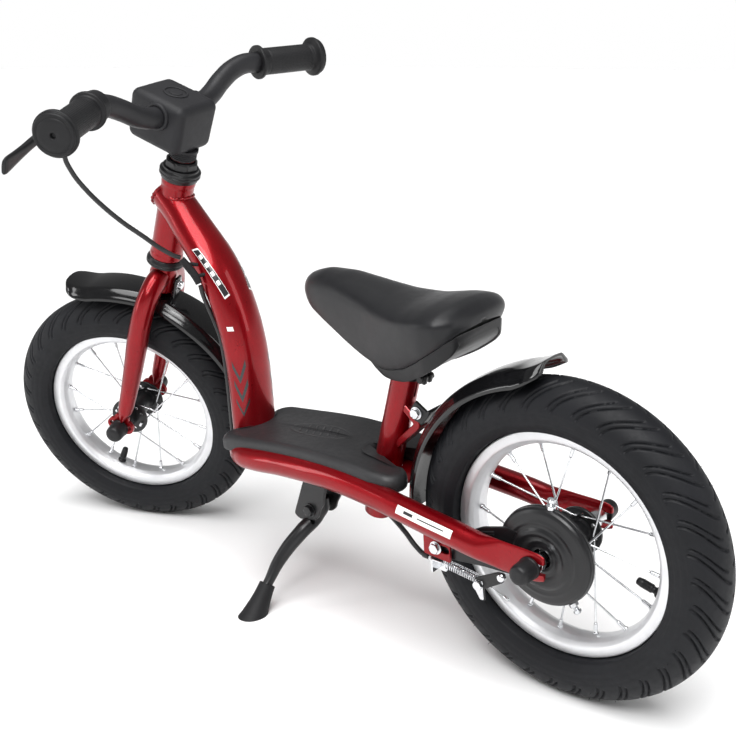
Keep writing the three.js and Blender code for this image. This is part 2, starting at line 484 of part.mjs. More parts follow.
// rear: from beside the dropouts, up behind the seat tube and over the tyre
{
  const guard = mudguard(REAR_GUARD_R, 33.5, 14, 6, -3, 85.3, 12, false);
  add(frame, "rear_mudguard", guard, BLACK_GLOSS());
  const c = THREE.MathUtils.degToRad(28);
  const P = (r, d, y = 0) => { const a = THREE.MathUtils.degToRad(d); return [r * Math.cos(a), y, r * Math.sin(a)]; };
  const bracket = plateXZ([[151, 82], [160.5, 84.4], [163, 97], [158, 104], [148.5, 98], [142, 93.5], [146, 87.4]], 10, 13, [[157, 92.5, 2.9]]);
  const foot = plateXZ([[152.4, 80.4], [154, 82.6], [143.4, 97.6], [141.2, 96]], -8, 13);
  add(frame, "rear_mudguard_bracket", cut(join(bracket, foot), arch([[-40, 160], [40, 160]], 12.4, 0, 60, 24)), BLACK_PAINT());
}
add(frame, "rear_mudguard_bolt", join(rod([157, 13.4, 92.5], [157, 18, 92.5], 5.2, 5.2, 6), rod([157, 9.7 - 3, 92.5], [157, 14, 92.5], 2.5, 2.5, 10), rod([157, 4.5, 92.5], [157, 9.6, 92.5], 4.8, 4.8, 6)), STEEL());
// front: centred on the fork crown, which is at the top of the steering axis
{
  const g = new THREE.Group();
  g.position.set(FORK_OFFSET, 0, 0);
  fork.add(g);
  // polar angles are taken in the fork's own frame
  const guard = mudguard(FRONT_GUARD_R, 31.5, 13, 10, 54, 145, 14, true, 0.13);
  const hanger = plateXZ([[-21.4, 169], [-24.4, 169], [-24.4, 200], [-21.4, 200]], -8, 8);
  const hangerHole = rod([-40, 0, 190], [-10, 0, 190], 3, 3, 10);
  add(g, "front_mudguard", cut(join(guard, hanger), hangerHole), BLACK_GLOSS());
  add(g, "front_mudguard_bolt", join(rod([-29.6, 0, 190], [-24.8, 0, 190], 5.4, 5.4, 6), rod([-25.5, 0, 190], [-20.6, 0, 190], 2.6, 2.6, 10)), STEEL());
}

// ---------- rear band brake ----------
{
  // drum on the hub
  add(rearWheel, "brake_drum", latheY(ringProfile([[9.9, 28.2], [36, 28.2], [36, 38.5], [33.5, 38.5], [33.5, 31], [9.9, 31]]), 18), STEEL());
  // fixed cover with its forward torque arm
  const cover = latheY(ringProfile([
    [9.2, 41], [9.2, 43.4], [17, 44], [24, 46.6], [30, 44], [38, 43.2], [BRAKE_R, 39.5], [BRAKE_R, 32], [BRAKE_R - 2, 32], [BRAKE_R - 2, 38], [42, 40], [28, 42], [13, 41],
  ]), 18);
  const arm = plateXZ([[30, 19], [62, 13], [98, -8], [119, -17], [121, -30], [98, -31.5], [60, -27], [30, -25]], 41.3, 44.4, [[112, -21, 3.4]]);
  const drumRoom = latheY([[0, 10], [BRAKE_R - 2, 10], [BRAKE_R - 2, 38], [42, 40], [30, 41.25], [0, 41.25]], 18);
  add(frame, "brake_cover", cut(join(cover, cut(arm, drumRoom)), rod([0, 30, 0], [0, 60, 0], 9, 9, 16)), BLACK_PAINT());
  // bolt through the arm and the tab
  add(frame, "brake_anchor_bolt", join(rod([112, 49.4, -21], [112, 54, -21], 5.6, 5.6, 6), rod([112, 40, -21], [112, 50, -21], 2.9, 2.9, 8)), STEEL());
  // silver cable stop under the tab, carrying the end of the cable housing
  add(frame, "cable_stop", cut(join(box(13, 12, 16, 115, 40.5, -44.5), rod([121, 40.5, -40], [126, 40.5, -38.8], 4.4, 4.4, 8)), rod([100, 40.5, -40.2], [135, 40.5, -40.2], 1.6, 1.6, 8)), STEEL());
  // adjusting screws on the rim of the cover
  const adj = (deg, y) => {
    const a = THREE.MathUtils.degToRad(deg), P = (r) => [r * Math.cos(a), y, r * Math.sin(a)];
    return join(rod(P(BRAKE_R + 0.4), P(BRAKE_R + 4.5), 4.6, 4.6, 6), rod(P(BRAKE_R + 4), P(BRAKE_R + 9.5), 2.5, 2.5, 8), rod(P(BRAKE_R + 7), P(BRAKE_R + 11), 4, 4, 6));
  };
  add(frame, "brake_adjuster_top", adj(96, 35.5), STEEL());
  add(frame, "brake_adjuster_bottom", adj(-125, 35.5), STEEL());
}
const ARM_PIVOT = [40, 49.2, -30];
{
  // actuating arm, pivoted on the torque arm, pulled forward by the inner wire
  const outline = [[36, -26], [44, -26], [70, -40], [71, -50], [64, -62], [59, -61], [60, -49], [38, -35]];
  const lever = plateXZ(outline, 44.9, 47.3, [[65, -45.5, 2.9]]);
  const rivet = join(rod([40, 44.9, -30], [40, 50.4, -30], 4.2, 4.2, 14));
  add(frame, "brake_arm", join(lever, rivet), STEEL());
  add(frame, "cable_pinch_bolt", join(rod([65, 38.5, -45.5], [65, 50, -45.5], 2.5, 2.5, 10), rod([65, 47.7, -45.5], [65, 51.5, -45.5], 5, 5, 6), rod([65, 36, -45.5], [65, 44.5, -45.5], 4.6, 4.6, 12)), STEEL());
  // return spring round the inner wire
  const pts = [];
  const n = 36, turns = 6;
  for (let i = 0; i <= n; i++) {
    const t = i / n, a = t * turns * 2 * Math.PI;
    pts.push([107.8 - t * 36.6, 40.5 + 4.1 * Math.cos(a), -40.2 - 4.2 * t + 4.1 * Math.sin(a)]);
  }
  add(frame, "brake_spring", pipe(pts, 0.8, 36, 3), STEEL());
}

// ---------- brake cable ----------
const CABLE_R = 2.5;
// lower run: from the guide on the down tube, down the front of the tube, under the platform to the stop
add(frame, "brake_cable_lower", pipe([
  [430.4, 31.6, 186.2], [430.6, 29.6, 176], [431.6, 24.5, 163], [430.6, 19, 146], [426.6, 15.6, 126], [423.8, 15, 100], [422.8, 15, 70], [423, 15, 34], [423, 15, 12], [419, 16, -3], [407, 19, -9.6],
  [385, 25, -9], [350, 32, -6], [300, 36, -3], [250, 36, -2], [210, 36, -5], [180, 36.5, -10], [158, 37.5, -24], [145, 39, -34], [134, 40.4, -38.6], [127, 40.5, -39],
], CABLE_R, 40, 6), BLACK_MATTE());
// guide sleeve on the left flank of the down tube
add(frame, "cable_guide", pipe([[445.5, 40.5, 215.5], [440, 37, 206], [434.4, 34, 197], [431, 32.6, 188.6]], 4.2, 7, 8), RUBBER());
// upper run: a slack loop from the lever's barrel to the guide
const inBars = (p) => V(...p).sub(STEER_FOOT).applyQuaternion(bars.quaternion.clone().invert()).toArray();
add(bars, "brake_cable_upper", pipe([
  [470.5, 117.4, 365.6], [478.5, 124, 359.5], [485.8, 133, 349], [486.5, 137.4, 336.5], [484.5, 133, 320], [480, 122, 300], [472.5, 110, 282], [465, 95, 264], [457.5, 78, 247], [452.5, 58, 228.5], [448.2, 46, 219.6], [446.6, 41.6, 217.4],
].map(inBars), CABLE_R, 30, 6), BLACK_MATTE());

// ---------- side stand ----------
{
  const cheeks = (y0) => plateXZ([[274, -2], [303, -2], [325, -56], [317, -60.5], [304, -57.4], [295, -56.4], [288.5, -51], [286, -43], [280, -34]], y0, y0 + 3, [[300, -45, 4.2]]);
  const top = box(30, 33, 3, 288, 10, -1.2);
  const post = rod([284, 8, -1.5], [284, 8, 20.6], 9, 9, 12);
  const bracket = join(cheeks(22), cheeks(-5), top, cut(post, plateStrip, plateXZ([...plateProfile.map(([x, z]) => [x, z + 60]), ...plateProfile.slice().reverse().map(([x, z]) => [x, z + 1 - GAP])], -60, 60)));
  add(frame, "kickstand_bracket", bracket, BLACK_PAINT());
  add(frame, "kickstand_pivot_bolt", join(rod([300, -10, -45], [300, 31, -45], 3.8, 3.8, 12), rod([300, 25.4, -45], [300, 30.4, -45], 6.4, 6.4, 6), rod([300, -11, -45], [300, -5.4, -45], 6.4, 6.4, 6)), STEEL());
  const leg = loft([
    { p: [296.5, 9, -34], a: 7, b: 8.5 }, { p: [300, 10, -45], a: 10, b: 11.6 }, { p: [303.5, 14, -57.5], a: 9, b: 8.6 }, { p: [308.5, 31, -69.5], a: 8.2, b: 8.2 }, { p: [316.5, 48, -86], a: 7.6, b: 7.6 },
    { p: [320.5, 62, -101], a: 6.6, b: 6.6 }, { p: [321, 74, -114], a: 5.5, b: 5.5 }, { p: [321.4, 82, -121.5], a: 5.2, b: 5.2 }, { p: [321.8, 88, -128], a: 5.2, b: 5.2 },
  ], { ref: [1, 0, 0], sides: 10 });
  const bore = rod([300, -20, -45], [300, 40, -45], 4.2, 4.2, 12);
  add(kick, "kickstand_leg", cut(leg, bore, box(80, 3.8, 80, 300, 23.5, -22), box(80, 3.8, 80, 300, -3.5, -21.6)), BLACK_PAINT());
}
{
  // rubber foot, cut level with the floor
  const axis0 = [321.2, 76.5, -116.5], axis1 = [322.5, 103, -151];
  let foot = rod(axis0, axis1, 8.6, 17, 10);
  const legHole = loft([
    { p: [320.5, 62, -101], a: 6.4, b: 6.6 }, { p: [321, 74, -114], a: 5.9, b: 5.9 }, { p: [321.4, 82, -121.5], a: 5.7, b: 5.7 }, { p: [321.9, 89.5, -129.6], a: 5.7, b: 5.7 },
  ], { ref: [1, 0, 0], sides: 10 });
  const slab = new THREE.BoxGeometry(300, 300, 100);
  slab.applyQuaternion(new THREE.Quaternion().setFromUnitVectors(V(0, 0, 1), up));
  const c = up.clone().multiplyScalar(floorK - 50);
  slab.translate(c.x + 320, c.y, c.z - (320 * up.x) / up.z);
  foot = cut(foot, legHole, solid(slab));
  foot = foot.decompose().sort((a, b) => b.volume() - a.volume())[0];
  add(kick, "kickstand_foot", foot, RUBBER());
}

// ---------- saddle ----------
{
  add(seat, "seat_post", rod(seatAt(-133), seatAt(16), 12.6, 12.6, 20), STEEL());
  const q = new THREE.Quaternion().setFromUnitVectors(V(0, 0, 1), SD);
  const place = (s, d) => solid(geometryOf(s).applyQuaternion(q).translate(...seatAt(d)));
  // split collar round the top of the seat tube, with two lugs and a cross bolt behind
  const collar = latheZ([[14.75, -5.5], [17.6, -5.5], [17.6, 5.5], [14.75, 5.5], [14.75, -5.5]], 16);
  const lug = box(13, 13, 9, -20.5, 0, 0), split = box(20, 2.6, 20, -22, 0, 0), inner = latheZ([[0, -30], [15.6, -30], [15.6, 30], [0, 30]], 16);
  add(frame, "seat_clamp", place(join(collar, cut(lug, split, inner), rod([-22, -9.5, 0], [-22, 9.5, 0], 2.6, 2.6, 8)), -6.2), BLACK_PAINT());
  // cover: long and narrow in front, wide and rounded behind, its skirt deep over the post
  // rows: x, crown height, half width, height of the widest line, half width and height of the lower edge
  const rows = [
    [86, 199, 16, 193.5, 13, 191], [89.5, 204, 38, 194, 32, 187.5], [96, 208.5, 48, 194, 41, 181.5], [105, 210.5, 54, 194, 46, 174.5], [118, 210, 55.5, 193, 47.5, 165.5],
    [135, 207.5, 53.5, 191, 43, 154.5], [155, 205, 49, 190, 38, 144.5], [178, 206.5, 42.5, 190, 34, 140], [200, 210.5, 36, 192, 30.5, 144.5], [225, 215, 31, 195, 27, 154],
    [248, 218, 27.5, 197, 23.5, 164.5], [267, 218, 24.5, 197, 20, 173], [282, 215, 20.5, 196, 16.5, 180], [291, 211, 15, 196, 11.5, 184.5], [297, 203, 6, 196, 5, 191],
  ];
  const ring = (x, pts) => pts.map(([y, z]) => [x, y, z]);
  // closed skin over rings of equal length, running tail to nose
  const skin = (rings) => {
    const m = rings[0].length, P = [], tri = [];
    for (const r of rings) for (const q of r) P.push(...q);
    for (let i = 0; i + 1 < rings.length; i++)
      for (let k = 0; k < m; k++) {
        const a = i * m + k, b = i * m + ((k + 1) % m);
        tri.push(a, a + m, b, b, a + m, b + m);
      }
    const cap = (r, flip) => {
      const c = P.length / 3, s0 = r * m;
      P.push(...rings[r].reduce((q, v) => q.map((n, d) => n + v[d] / m), [0, 0, 0]));
      for (let k = 0; k < m; k++) flip ? tri.push(c, s0 + k, s0 + ((k + 1) % m)) : tri.push(c, s0 + ((k + 1) % m), s0 + k);
    };
    cap(0, true);
    cap(rings.length - 1, false);
    const g = new THREE.BufferGeometry();
    g.setAttribute("position", new THREE.BufferAttribute(new Float32Array(P), 3));
    g.setIndex(tri);
    return solid(g);
  };
  const cover = skin(rows.map(([x, crown, w, zw, b, zb]) => {
    const right = [0.42, 0.78, 1].map((t) => [w * Math.sin(t * Math.PI / 2), zw + (crown - zw) * Math.cos(t * Math.PI / 2)]);
    right.push([w + (b - w) * 0.4, zw + (zb - zw) * 0.6], [b, zb]);
    return ring(x, [[0, crown], ...right, ...right.slice().reverse().map(([y, z]) => [-y, z])]);
  }));
  const postRoom = rod(seatAt(-18), seatAt(16.4), 12.98, 12.98, 20);
  add(seat, "saddle_cover", cut(cover, rod(seatAt(-18), seatAt(16.4), 20, 20, 16), rod(seatAt(12), seatAt(23), 20.4, 19, 16), place(box(16, 18, 14, -24, 0, 0), -6.2)), mat(0x1c1d1f, 0.5, 0.0));
  // moulded base under the rear of the cover, with the socket for the post
  const under = skin([[92, 38, 184, 13], [96, 42, 181.5, 16], [105, 46, 174.5, 17], [118, 47.5, 165.5, 17], [135, 43, 154.5, 15.5], [155, 38, 144.5, 13], [178, 34, 140, 9], [191, 32, 142.6, 5]].map(
    ([x, b, zb, h]) => ring(x, [[0, zb - GAP - 0.1], [b - 0.6, zb - GAP - 0.1], [b - 2.4, zb - h], [2.4 - b, zb - h], [0.6 - b, zb - GAP - 0.1]])));
  const base = cut(join(under, rod(seatAt(1), seatAt(22), 18, 18.6, 16)), postRoom, rod(seatAt(-40), seatAt(0.9), 18.6, 18.6, 20), place(box(22, 16, 14, -24, 0, 0), -6.2), rod(seatAt(-60), seatAt(-8), 60, 60, 12));
  add(seat, "saddle_base", base.decompose().sort((a, b) => b.volume() - a.volume())[0], BLACK_MATTE());
}

// ---------- handlebar ----------
{
  const quill = rod([0, 0, 228], [0, 0, 380], 11.1, 11.1, 18);
  const clampBody = join(rod([BAR_X, -19, BAR_Z], [BAR_X, 19, BAR_Z], 16.5, 16.5, 20), rod([0.6, 0, 376], [BAR_X * 0.7, 0, BAR_Z - 6], 11.1, 11.1, 16));
  add(bars, "stem", cut(join(quill, clampBody), rod([BAR_X, -40, BAR_Z], [BAR_X, 40, BAR_Z], BAR_R + GAP, BAR_R + GAP, 16)), BLACK_PAINT());
  const side = [[30, BAR_X, BAR_Z], [45, 17, BAR_Z + 1], [60, 19.4, BAR_Z + 5], [80, 23.4, BAR_Z + 14.4], [100, 25.2, BAR_Z + 22.8], [118, 23.4, BAR_Z + 27.8], [138, 16.8, 420], [175, 2.3, 423], [211, -11.9, 425.9]];
  const pts = [...side.slice().reverse().map(([y, x, z]) => [x, y, z]), [BAR_X, 12, BAR_Z], [BAR_X, -12, BAR_Z], ...side.map(([y, x, z]) => [x, -y, z])];
  add(bars, "handlebar", pipe(pts, BAR_R, 26, 10), BLACK_MATTE());
  // soft cover over the stem and the middle of the bar
  const shell = solid(new RoundedBoxGeometry(70, 62, 55, 1, 8).translate(21.5, 0, 381.6));
  const room = join(rod([0, 0, 340], [0, 0, 381], 11.5, 11.5, 18), rod([BAR_X, -19.4, BAR_Z], [BAR_X, 19.4, BAR_Z], 16.95, 16.95, 20), rod([0.6, 0, 375.6], [BAR_X * 0.7, 0, BAR_Z - 6], 11.5, 11.5, 16), pipe(pts, BAR_R + GAP + 0.15, 26, 10));
  add(bars, "stem_cover", cut(shell, room), BLACK_MATTE());
  // grips
  const gripAxis = (s) => {
    const a = V(16.8, s * 138, 420), b = V(-12.6, s * 213, 426);
    return { a, d: b.sub(a).normalize() };
  };
  const grip = (s) => {
    const { a, d } = gripAxis(s);
    const prof = [[BAR_R + GAP + 0.1, -3], [GRIP_FLANGE_R, -3], [GRIP_FLANGE_R, 1.5], [GRIP_R, 3], [GRIP_R, 70], [GRIP_END_R, 73], [GRIP_END_R, 80], [3, 82.6], [3, 79.5], [BAR_R + GAP + 0.1, 79.4], [BAR_R + GAP + 0.1, -3]];
    const g = geometryOf(latheZ(prof, 14));
    g.applyQuaternion(new THREE.Quaternion().setFromUnitVectors(V(0, 0, 1), d)).translate(a.x, a.y, a.z);
    return solid(g);
  };
  add(bars, "grip_left", grip(1), RUBBER());
  add(bars, "grip_right", grip(-1), RUBBER());
  // lever clamp just inside the left grip, with its pivot cheeks and cable barrel
  const clampRing = (() => {
    const g = geometryOf(latheZ([[BAR_R + GAP + 0.1, -7], [15.6, -7], [15.6, 7], [BAR_R + GAP + 0.1, 7], [BAR_R + GAP + 0.1, -7]], 10));
    const d = V(21.6 - 24.6, 131 - 116, 1.7).normalize();
    return solid(g.applyQuaternion(new THREE.Quaternion().setFromUnitVectors(V(0, 0, 1), d)).translate(22.2, 124.6, 419.2));
  })();
  const reach = loft([{ p: [33, 123, 414], a: 9, b: 5.5 }, { p: [38, 121, 405], a: 9, b: 5.5 }, { p: [42, 119, 399], a: 7, b: 5 }], { ref: [0, 1, 0], sides: 8 });
  const barKeepOut = pipe(pts, BAR_R + GAP + 0.1, 26, 10);
  const barrel = rod(inBars([464.6, 112.4, 369.6]), inBars([469.9, 117, 366]), 4, 4, 8);
  const perch = cut(join(clampRing, reach, barrel, rod([42, 119, 399], inBars([465.5, 113, 369.2]), 4.4, 4, 8)), barKeepOut);
  add(bars, "brake_lever_clamp", perch.decompose().sort((a, b) => b.volume() - a.volume())[0], BLACK_MATTE());
  // two-finger blade, bowed forward round the grip, with a flared end
  const blade = loft([
    { p: [36, 133.5, 404.5], a: 4.4, b: 5 }, { p: [43.5, 146, 397.5], a: 4.6, b: 4.6 }, { p: [45, 162, 391.5], a: 4.6, b: 4.2 }, { p: [41, 180, 388.6], a: 5, b: 3.8 }, { p: [34.5, 198, 387.6], a: 5.6, b: 3.4 },
    { p: [28, 215, 387], a: 7, b: 3 }, { p: [21.5, 232, 386.6], a: 8.4, b: 2.8 }, { p: [20, 236, 386.5], a: 7.6, b: 2.2 },
  ], { ref: [1, 0, 0], sides: 10 });
  add(lever, "brake_lever", blade, BLACK_MATTE());
}
// stand the bike up: floor at z = 0, box centred on the origin
bike.quaternion.setFromUnitVectors(up, V(0, 0, 1));
bike.updateMatrixWorld(true);
const extent = new THREE.Box3().setFromObject(bike, true);
bike.position.set(-(extent.min.x + extent.max.x) / 2, -(extent.min.y + extent.max.y) / 2, -extent.min.z);
export default bike;
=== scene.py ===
# Looks of the balance bike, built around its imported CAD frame.
import json
import math

import bmesh
import bpy
import numpy as np
from mathutils import Matrix, Vector
from mathutils.geometry import tessellate_polygon


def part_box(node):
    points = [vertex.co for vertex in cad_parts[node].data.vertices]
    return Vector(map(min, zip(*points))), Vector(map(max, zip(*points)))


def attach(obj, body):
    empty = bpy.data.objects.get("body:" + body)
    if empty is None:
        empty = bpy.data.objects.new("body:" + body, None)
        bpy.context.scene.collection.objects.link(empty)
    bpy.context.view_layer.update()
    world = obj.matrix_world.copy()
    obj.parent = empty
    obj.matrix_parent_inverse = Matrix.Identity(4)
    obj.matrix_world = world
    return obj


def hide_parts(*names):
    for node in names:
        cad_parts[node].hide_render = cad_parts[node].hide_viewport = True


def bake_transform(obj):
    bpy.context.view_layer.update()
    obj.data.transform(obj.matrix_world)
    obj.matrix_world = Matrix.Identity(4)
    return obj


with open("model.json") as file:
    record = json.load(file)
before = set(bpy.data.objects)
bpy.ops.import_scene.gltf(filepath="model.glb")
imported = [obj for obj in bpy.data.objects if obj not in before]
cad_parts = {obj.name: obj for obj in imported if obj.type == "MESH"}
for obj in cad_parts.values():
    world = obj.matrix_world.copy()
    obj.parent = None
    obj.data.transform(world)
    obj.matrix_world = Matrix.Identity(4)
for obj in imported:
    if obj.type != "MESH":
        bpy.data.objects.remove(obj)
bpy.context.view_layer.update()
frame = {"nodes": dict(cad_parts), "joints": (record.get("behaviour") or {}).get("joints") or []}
scene = bpy.context.scene

# ---------------------------------------------------------------- frames, in millimetres of the bike
JOINT = {j["name"]: j for j in frame["joints"]}
HA = math.radians(23.05)


def unit(v):
    v = np.array(v, float)
    return v / np.linalg.norm(v)


yb = unit(JOINT["rear_wheel_spin"]["axis"])
ub = unit(JOINT["steering"]["axis"])
ub = unit(ub - (ub @ yb) * yb)
wb = np.cross(yb, ub)
xb = math.cos(HA) * wb - math.sin(HA) * ub
zb_ = math.sin(HA) * wb + math.cos(HA) * ub
B = np.eye(4)
B[:3, 0], B[:3, 1], B[:3, 2] = xb * 0.001, yb * 0.001, zb_ * 0.001
B[:3, 3] = JOINT["rear_wheel_spin"]["pos_m"]


def move(x, y, z):
    m = np.eye(4)
    m[:3, 3] = (x, y, z)
    return m


def turn_y(a):
    m = np.eye(4)
    m[0, 0], m[0, 2], m[2, 0], m[2, 2] = math.cos(a), math.sin(a), -math.sin(a), math.cos(a)
    return m


def turn_z(a):
    m = np.eye(4)
    m[0, 0], m[0, 1], m[1, 0], m[1, 1] = math.cos(a), -math.sin(a), math.sin(a), math.cos(a)
    return m


FOOT = (609.227, 0, -1.605)
HEAD = B @ move(*FOOT) @ turn_y(-HA)
FORK = HEAD @ turn_z(math.radians(25.6))
BARS = HEAD @ turn_z(math.radians(10.7))
FWHEEL = FORK @ move(4.1, 0, 0)


def in_bars(p):
    q = np.linalg.inv(BARS) @ B @ np.array([*p, 1.0])
    return q[:3].tolist()


# ---------------------------------------------------------------- mesh helpers: a part is (points, faces)
def pchip(x, y, q):
    x, y, q = np.array(x, float), np.array(y, float), np.array(q, float)
    h = np.diff(x)
    d = np.diff(y) / h
    m = np.zeros_like(y)
    m[0], m[-1] = d[0], d[-1]
    for i in range(1, len(y) - 1):
        if d[i - 1] * d[i] > 0:
            w1, w2 = 2 * h[i] + h[i - 1], h[i] + 2 * h[i - 1]
            m[i] = (w1 + w2) / (w1 / d[i - 1] + w2 / d[i])
    k = np.clip(np.searchsorted(x, q) - 1, 0, len(h) - 1)
    t = (q - x[k]) / h[k]
    return (2 * t**3 - 3 * t**2 + 1) * y[k] + (t**3 - 2 * t**2 + t) * h[k] * m[k] + (3 * t**2 - 2 * t**3) * y[k + 1] + (t**3 - t**2) * h[k] * m[k + 1]


def smooth_path(P, n):
    """n points on a smooth curve through P, evenly spaced along its chords."""
    P = np.array(P, float)
    s = np.concatenate([[0], np.cumsum(np.linalg.norm(np.diff(P, axis=0), axis=1))])
    m = np.zeros_like(P)
    m[0], m[-1] = (P[1] - P[0]) / (s[1] - s[0]), (P[-1] - P[-2]) / (s[-1] - s[-2])
    for i in range(1, len(P) - 1):
        h0, h1 = s[i] - s[i - 1], s[i + 1] - s[i]
        m[i] = ((P[i] - P[i - 1]) / h0 * h1 + (P[i + 1] - P[i]) / h1 * h0) / (h0 + h1)
    q = np.linspace(0, s[-1], n)
    k = np.clip(np.searchsorted(s, q) - 1, 0, len(P) - 2)
    h = (s[k + 1] - s[k])
    t = (q - s[k]) / h
    t, h = t[:, None], h[:, None]
    out = (2 * t**3 - 3 * t**2 + 1) * P[k] + (t**3 - 2 * t**2 + t) * h * m[k] + (3 * t**2 - 2 * t**3) * P[k + 1] + (t**3 - t**2) * h * m[k + 1]
    return out, s, q


def skin(R, wrap_rings=False, caps=True):
    """Faces over rings R[n, m, 3], each ring closed."""
    n, m = R.shape[:2]
    F = []
    for i in range(n if wrap_rings else n - 1):
        a0, b0 = i * m, ((i + 1) % n) * m
        F += [(a0 + k, a0 + (k + 1) % m, b0 + (k + 1) % m, b0 + k) for k in range(m)]
    if caps and not wrap_rings:
        F += [tuple(range(m))[::-1], tuple((n - 1) * m + k for k in range(m))]
    return R.reshape(-1, 3), F


def loft_rings(st, ref, nu, n, grow=0.0, power=2.0):
    st = [list(s) for s in st]
    P, s, q = smooth_path([x[:3] for x in st], nu)
    a = pchip(s, [x[3] for x in st], q) + grow
    b = pchip(s, [x[4] for x in st], q) + grow
    t = np.gradient(P, axis=0)
    t /= np.linalg.norm(t, axis=1)[:, None]
    side = np.array(ref, float) - (t @ np.array(ref, float))[:, None] * t
    side /= np.linalg.norm(side, axis=1)[:, None]
    c = np.cross(side, t)
    f = np.linspace(0, 2 * math.pi, n, endpoint=False)
    cf = np.sign(np.cos(f)) * np.abs(np.cos(f)) ** (2 / power)
    sf = np.sign(np.sin(f)) * np.abs(np.sin(f)) ** (2 / power)
    R = P[:, None] + b[:, None, None] * cf[None, :, None] * side[:, None] + a[:, None, None] * sf[None, :, None] * c[:, None]
    return R, P, t


def loft(st, ref, nu=60, n=40, grow=0.0, power=2.0, end=0.8):
    R, P, t = loft_rings(st, ref, nu, n, grow, power)
    if end:
        first, last = [], []
        for k in (1, 2, 3, 4):
            g = k / 4 * math.pi / 2
            for ring, c, d, out in ((R[0], P[0], -t[0], first), (R[-1], P[-1], t[-1], last)):
                rad = np.linalg.norm(ring - c, axis=1).min()
                out.append(c + (ring - c) * (1 - end / rad * (1 - math.cos(g))) + d * end * math.sin(g))
        R = np.concatenate([np.array(first[::-1]), R, np.array(last)])
    return skin(R)


def sweep(P, r, nu=80, n=20, caps=True):
    """A round tube through P; r is a number or a list of radii at the points of P."""
    Q, s, q = smooth_path(P, nu)
    rad = np.full(nu, float(r)) if np.isscalar(r) else pchip(s, r, q)
    t = np.gradient(Q, axis=0)
    t /= np.linalg.norm(t, axis=1)[:, None]
    a = np.cross(t[0], [0, 0, 1]) if abs(t[0][2]) < 0.9 else np.cross(t[0], [1, 0, 0])
    A = [unit(a)]
    for i in range(1, nu):
        v = A[-1] - (A[-1] @ t[i]) * t[i]
        A.append(unit(v))
    A = np.array(A)
    C = np.cross(t, A)
    f = np.linspace(0, 2 * math.pi, n, endpoint=False)
    R = Q[:, None] + rad[:, None, None] * (np.cos(f)[None, :, None] * A[:, None] + np.sin(f)[None, :, None] * C[:, None])
    return skin(R, caps=caps)


def fillet(P, r, closed=True, k=4):
    out = []
    n = len(P)
    for i in range(n):
        p = np.array(P[i], float)
        if not closed and i in (0, n - 1):
            out.append(p)
            continue
        a, b = np.array(P[i - 1], float), np.array(P[(i + 1) % n], float)
        la, lb = np.linalg.norm(a - p), np.linalg.norm(b - p)
        c = min(r, 0.42 * la, 0.42 * lb)
        s, e = p + (a - p) / la * c, p + (b - p) / lb * c
        for t in np.linspace(0, 1, k + 1):
            out.append((1 - t) ** 2 * s + 2 * t * (1 - t) * p + t**2 * e)
    return out


def lathe(profile, p0=(0, 0, 0), d=(0, 1, 0), n=72, closed=True, round_=0.5, k=3):
    """profile of (radius, distance along d from p0)."""
    if round_:
        profile = fillet(profile, round_, closed, k)
    P = np.array(profile, float)
    d = unit(d)
    a = unit(np.cross(d, [0, 0, 1])) if abs(d[2]) < 0.9 else unit(np.cross(d, [1, 0, 0]))
    c = np.cross(d, a)
    f = np.linspace(0, 2 * math.pi, n, endpoint=False)
    R = np.array(p0, float) + P[None, :, 1, None] * d + P[None, :, 0, None] * (np.cos(f)[:, None, None] * a + np.sin(f)[:, None, None] * c)
    m = len(P)
    V = R.reshape(-1, 3)
    F = []
    for i in range(n):
        j = (i + 1) % n
        F += [(i * m + q, j * m + q, j * m + (q + 1) % m, i * m + (q + 1) % m) for q in range(m if closed else m - 1)]
    return V, F


def rod(p, q, r0, r1=None, n=40, edge=0.5):
    p, q = np.array(p, float), np.array(q, float)
    L = np.linalg.norm(q - p)
    r1 = r0 if r1 is None else r1
    return lathe([(0, 0), (r0, 0), (r1, L), (0, L)], p, q - p, n, False, edge)


def tube(p, q, ro, ri, n=64, edge=0.5):
    p, q = np.array(p, float), np.array(q, float)
    L = np.linalg.norm(q - p)
    return lathe([(ri, 0), (ro, 0), (ro, L), (ri, L)], p, q - p, n, True, edge)


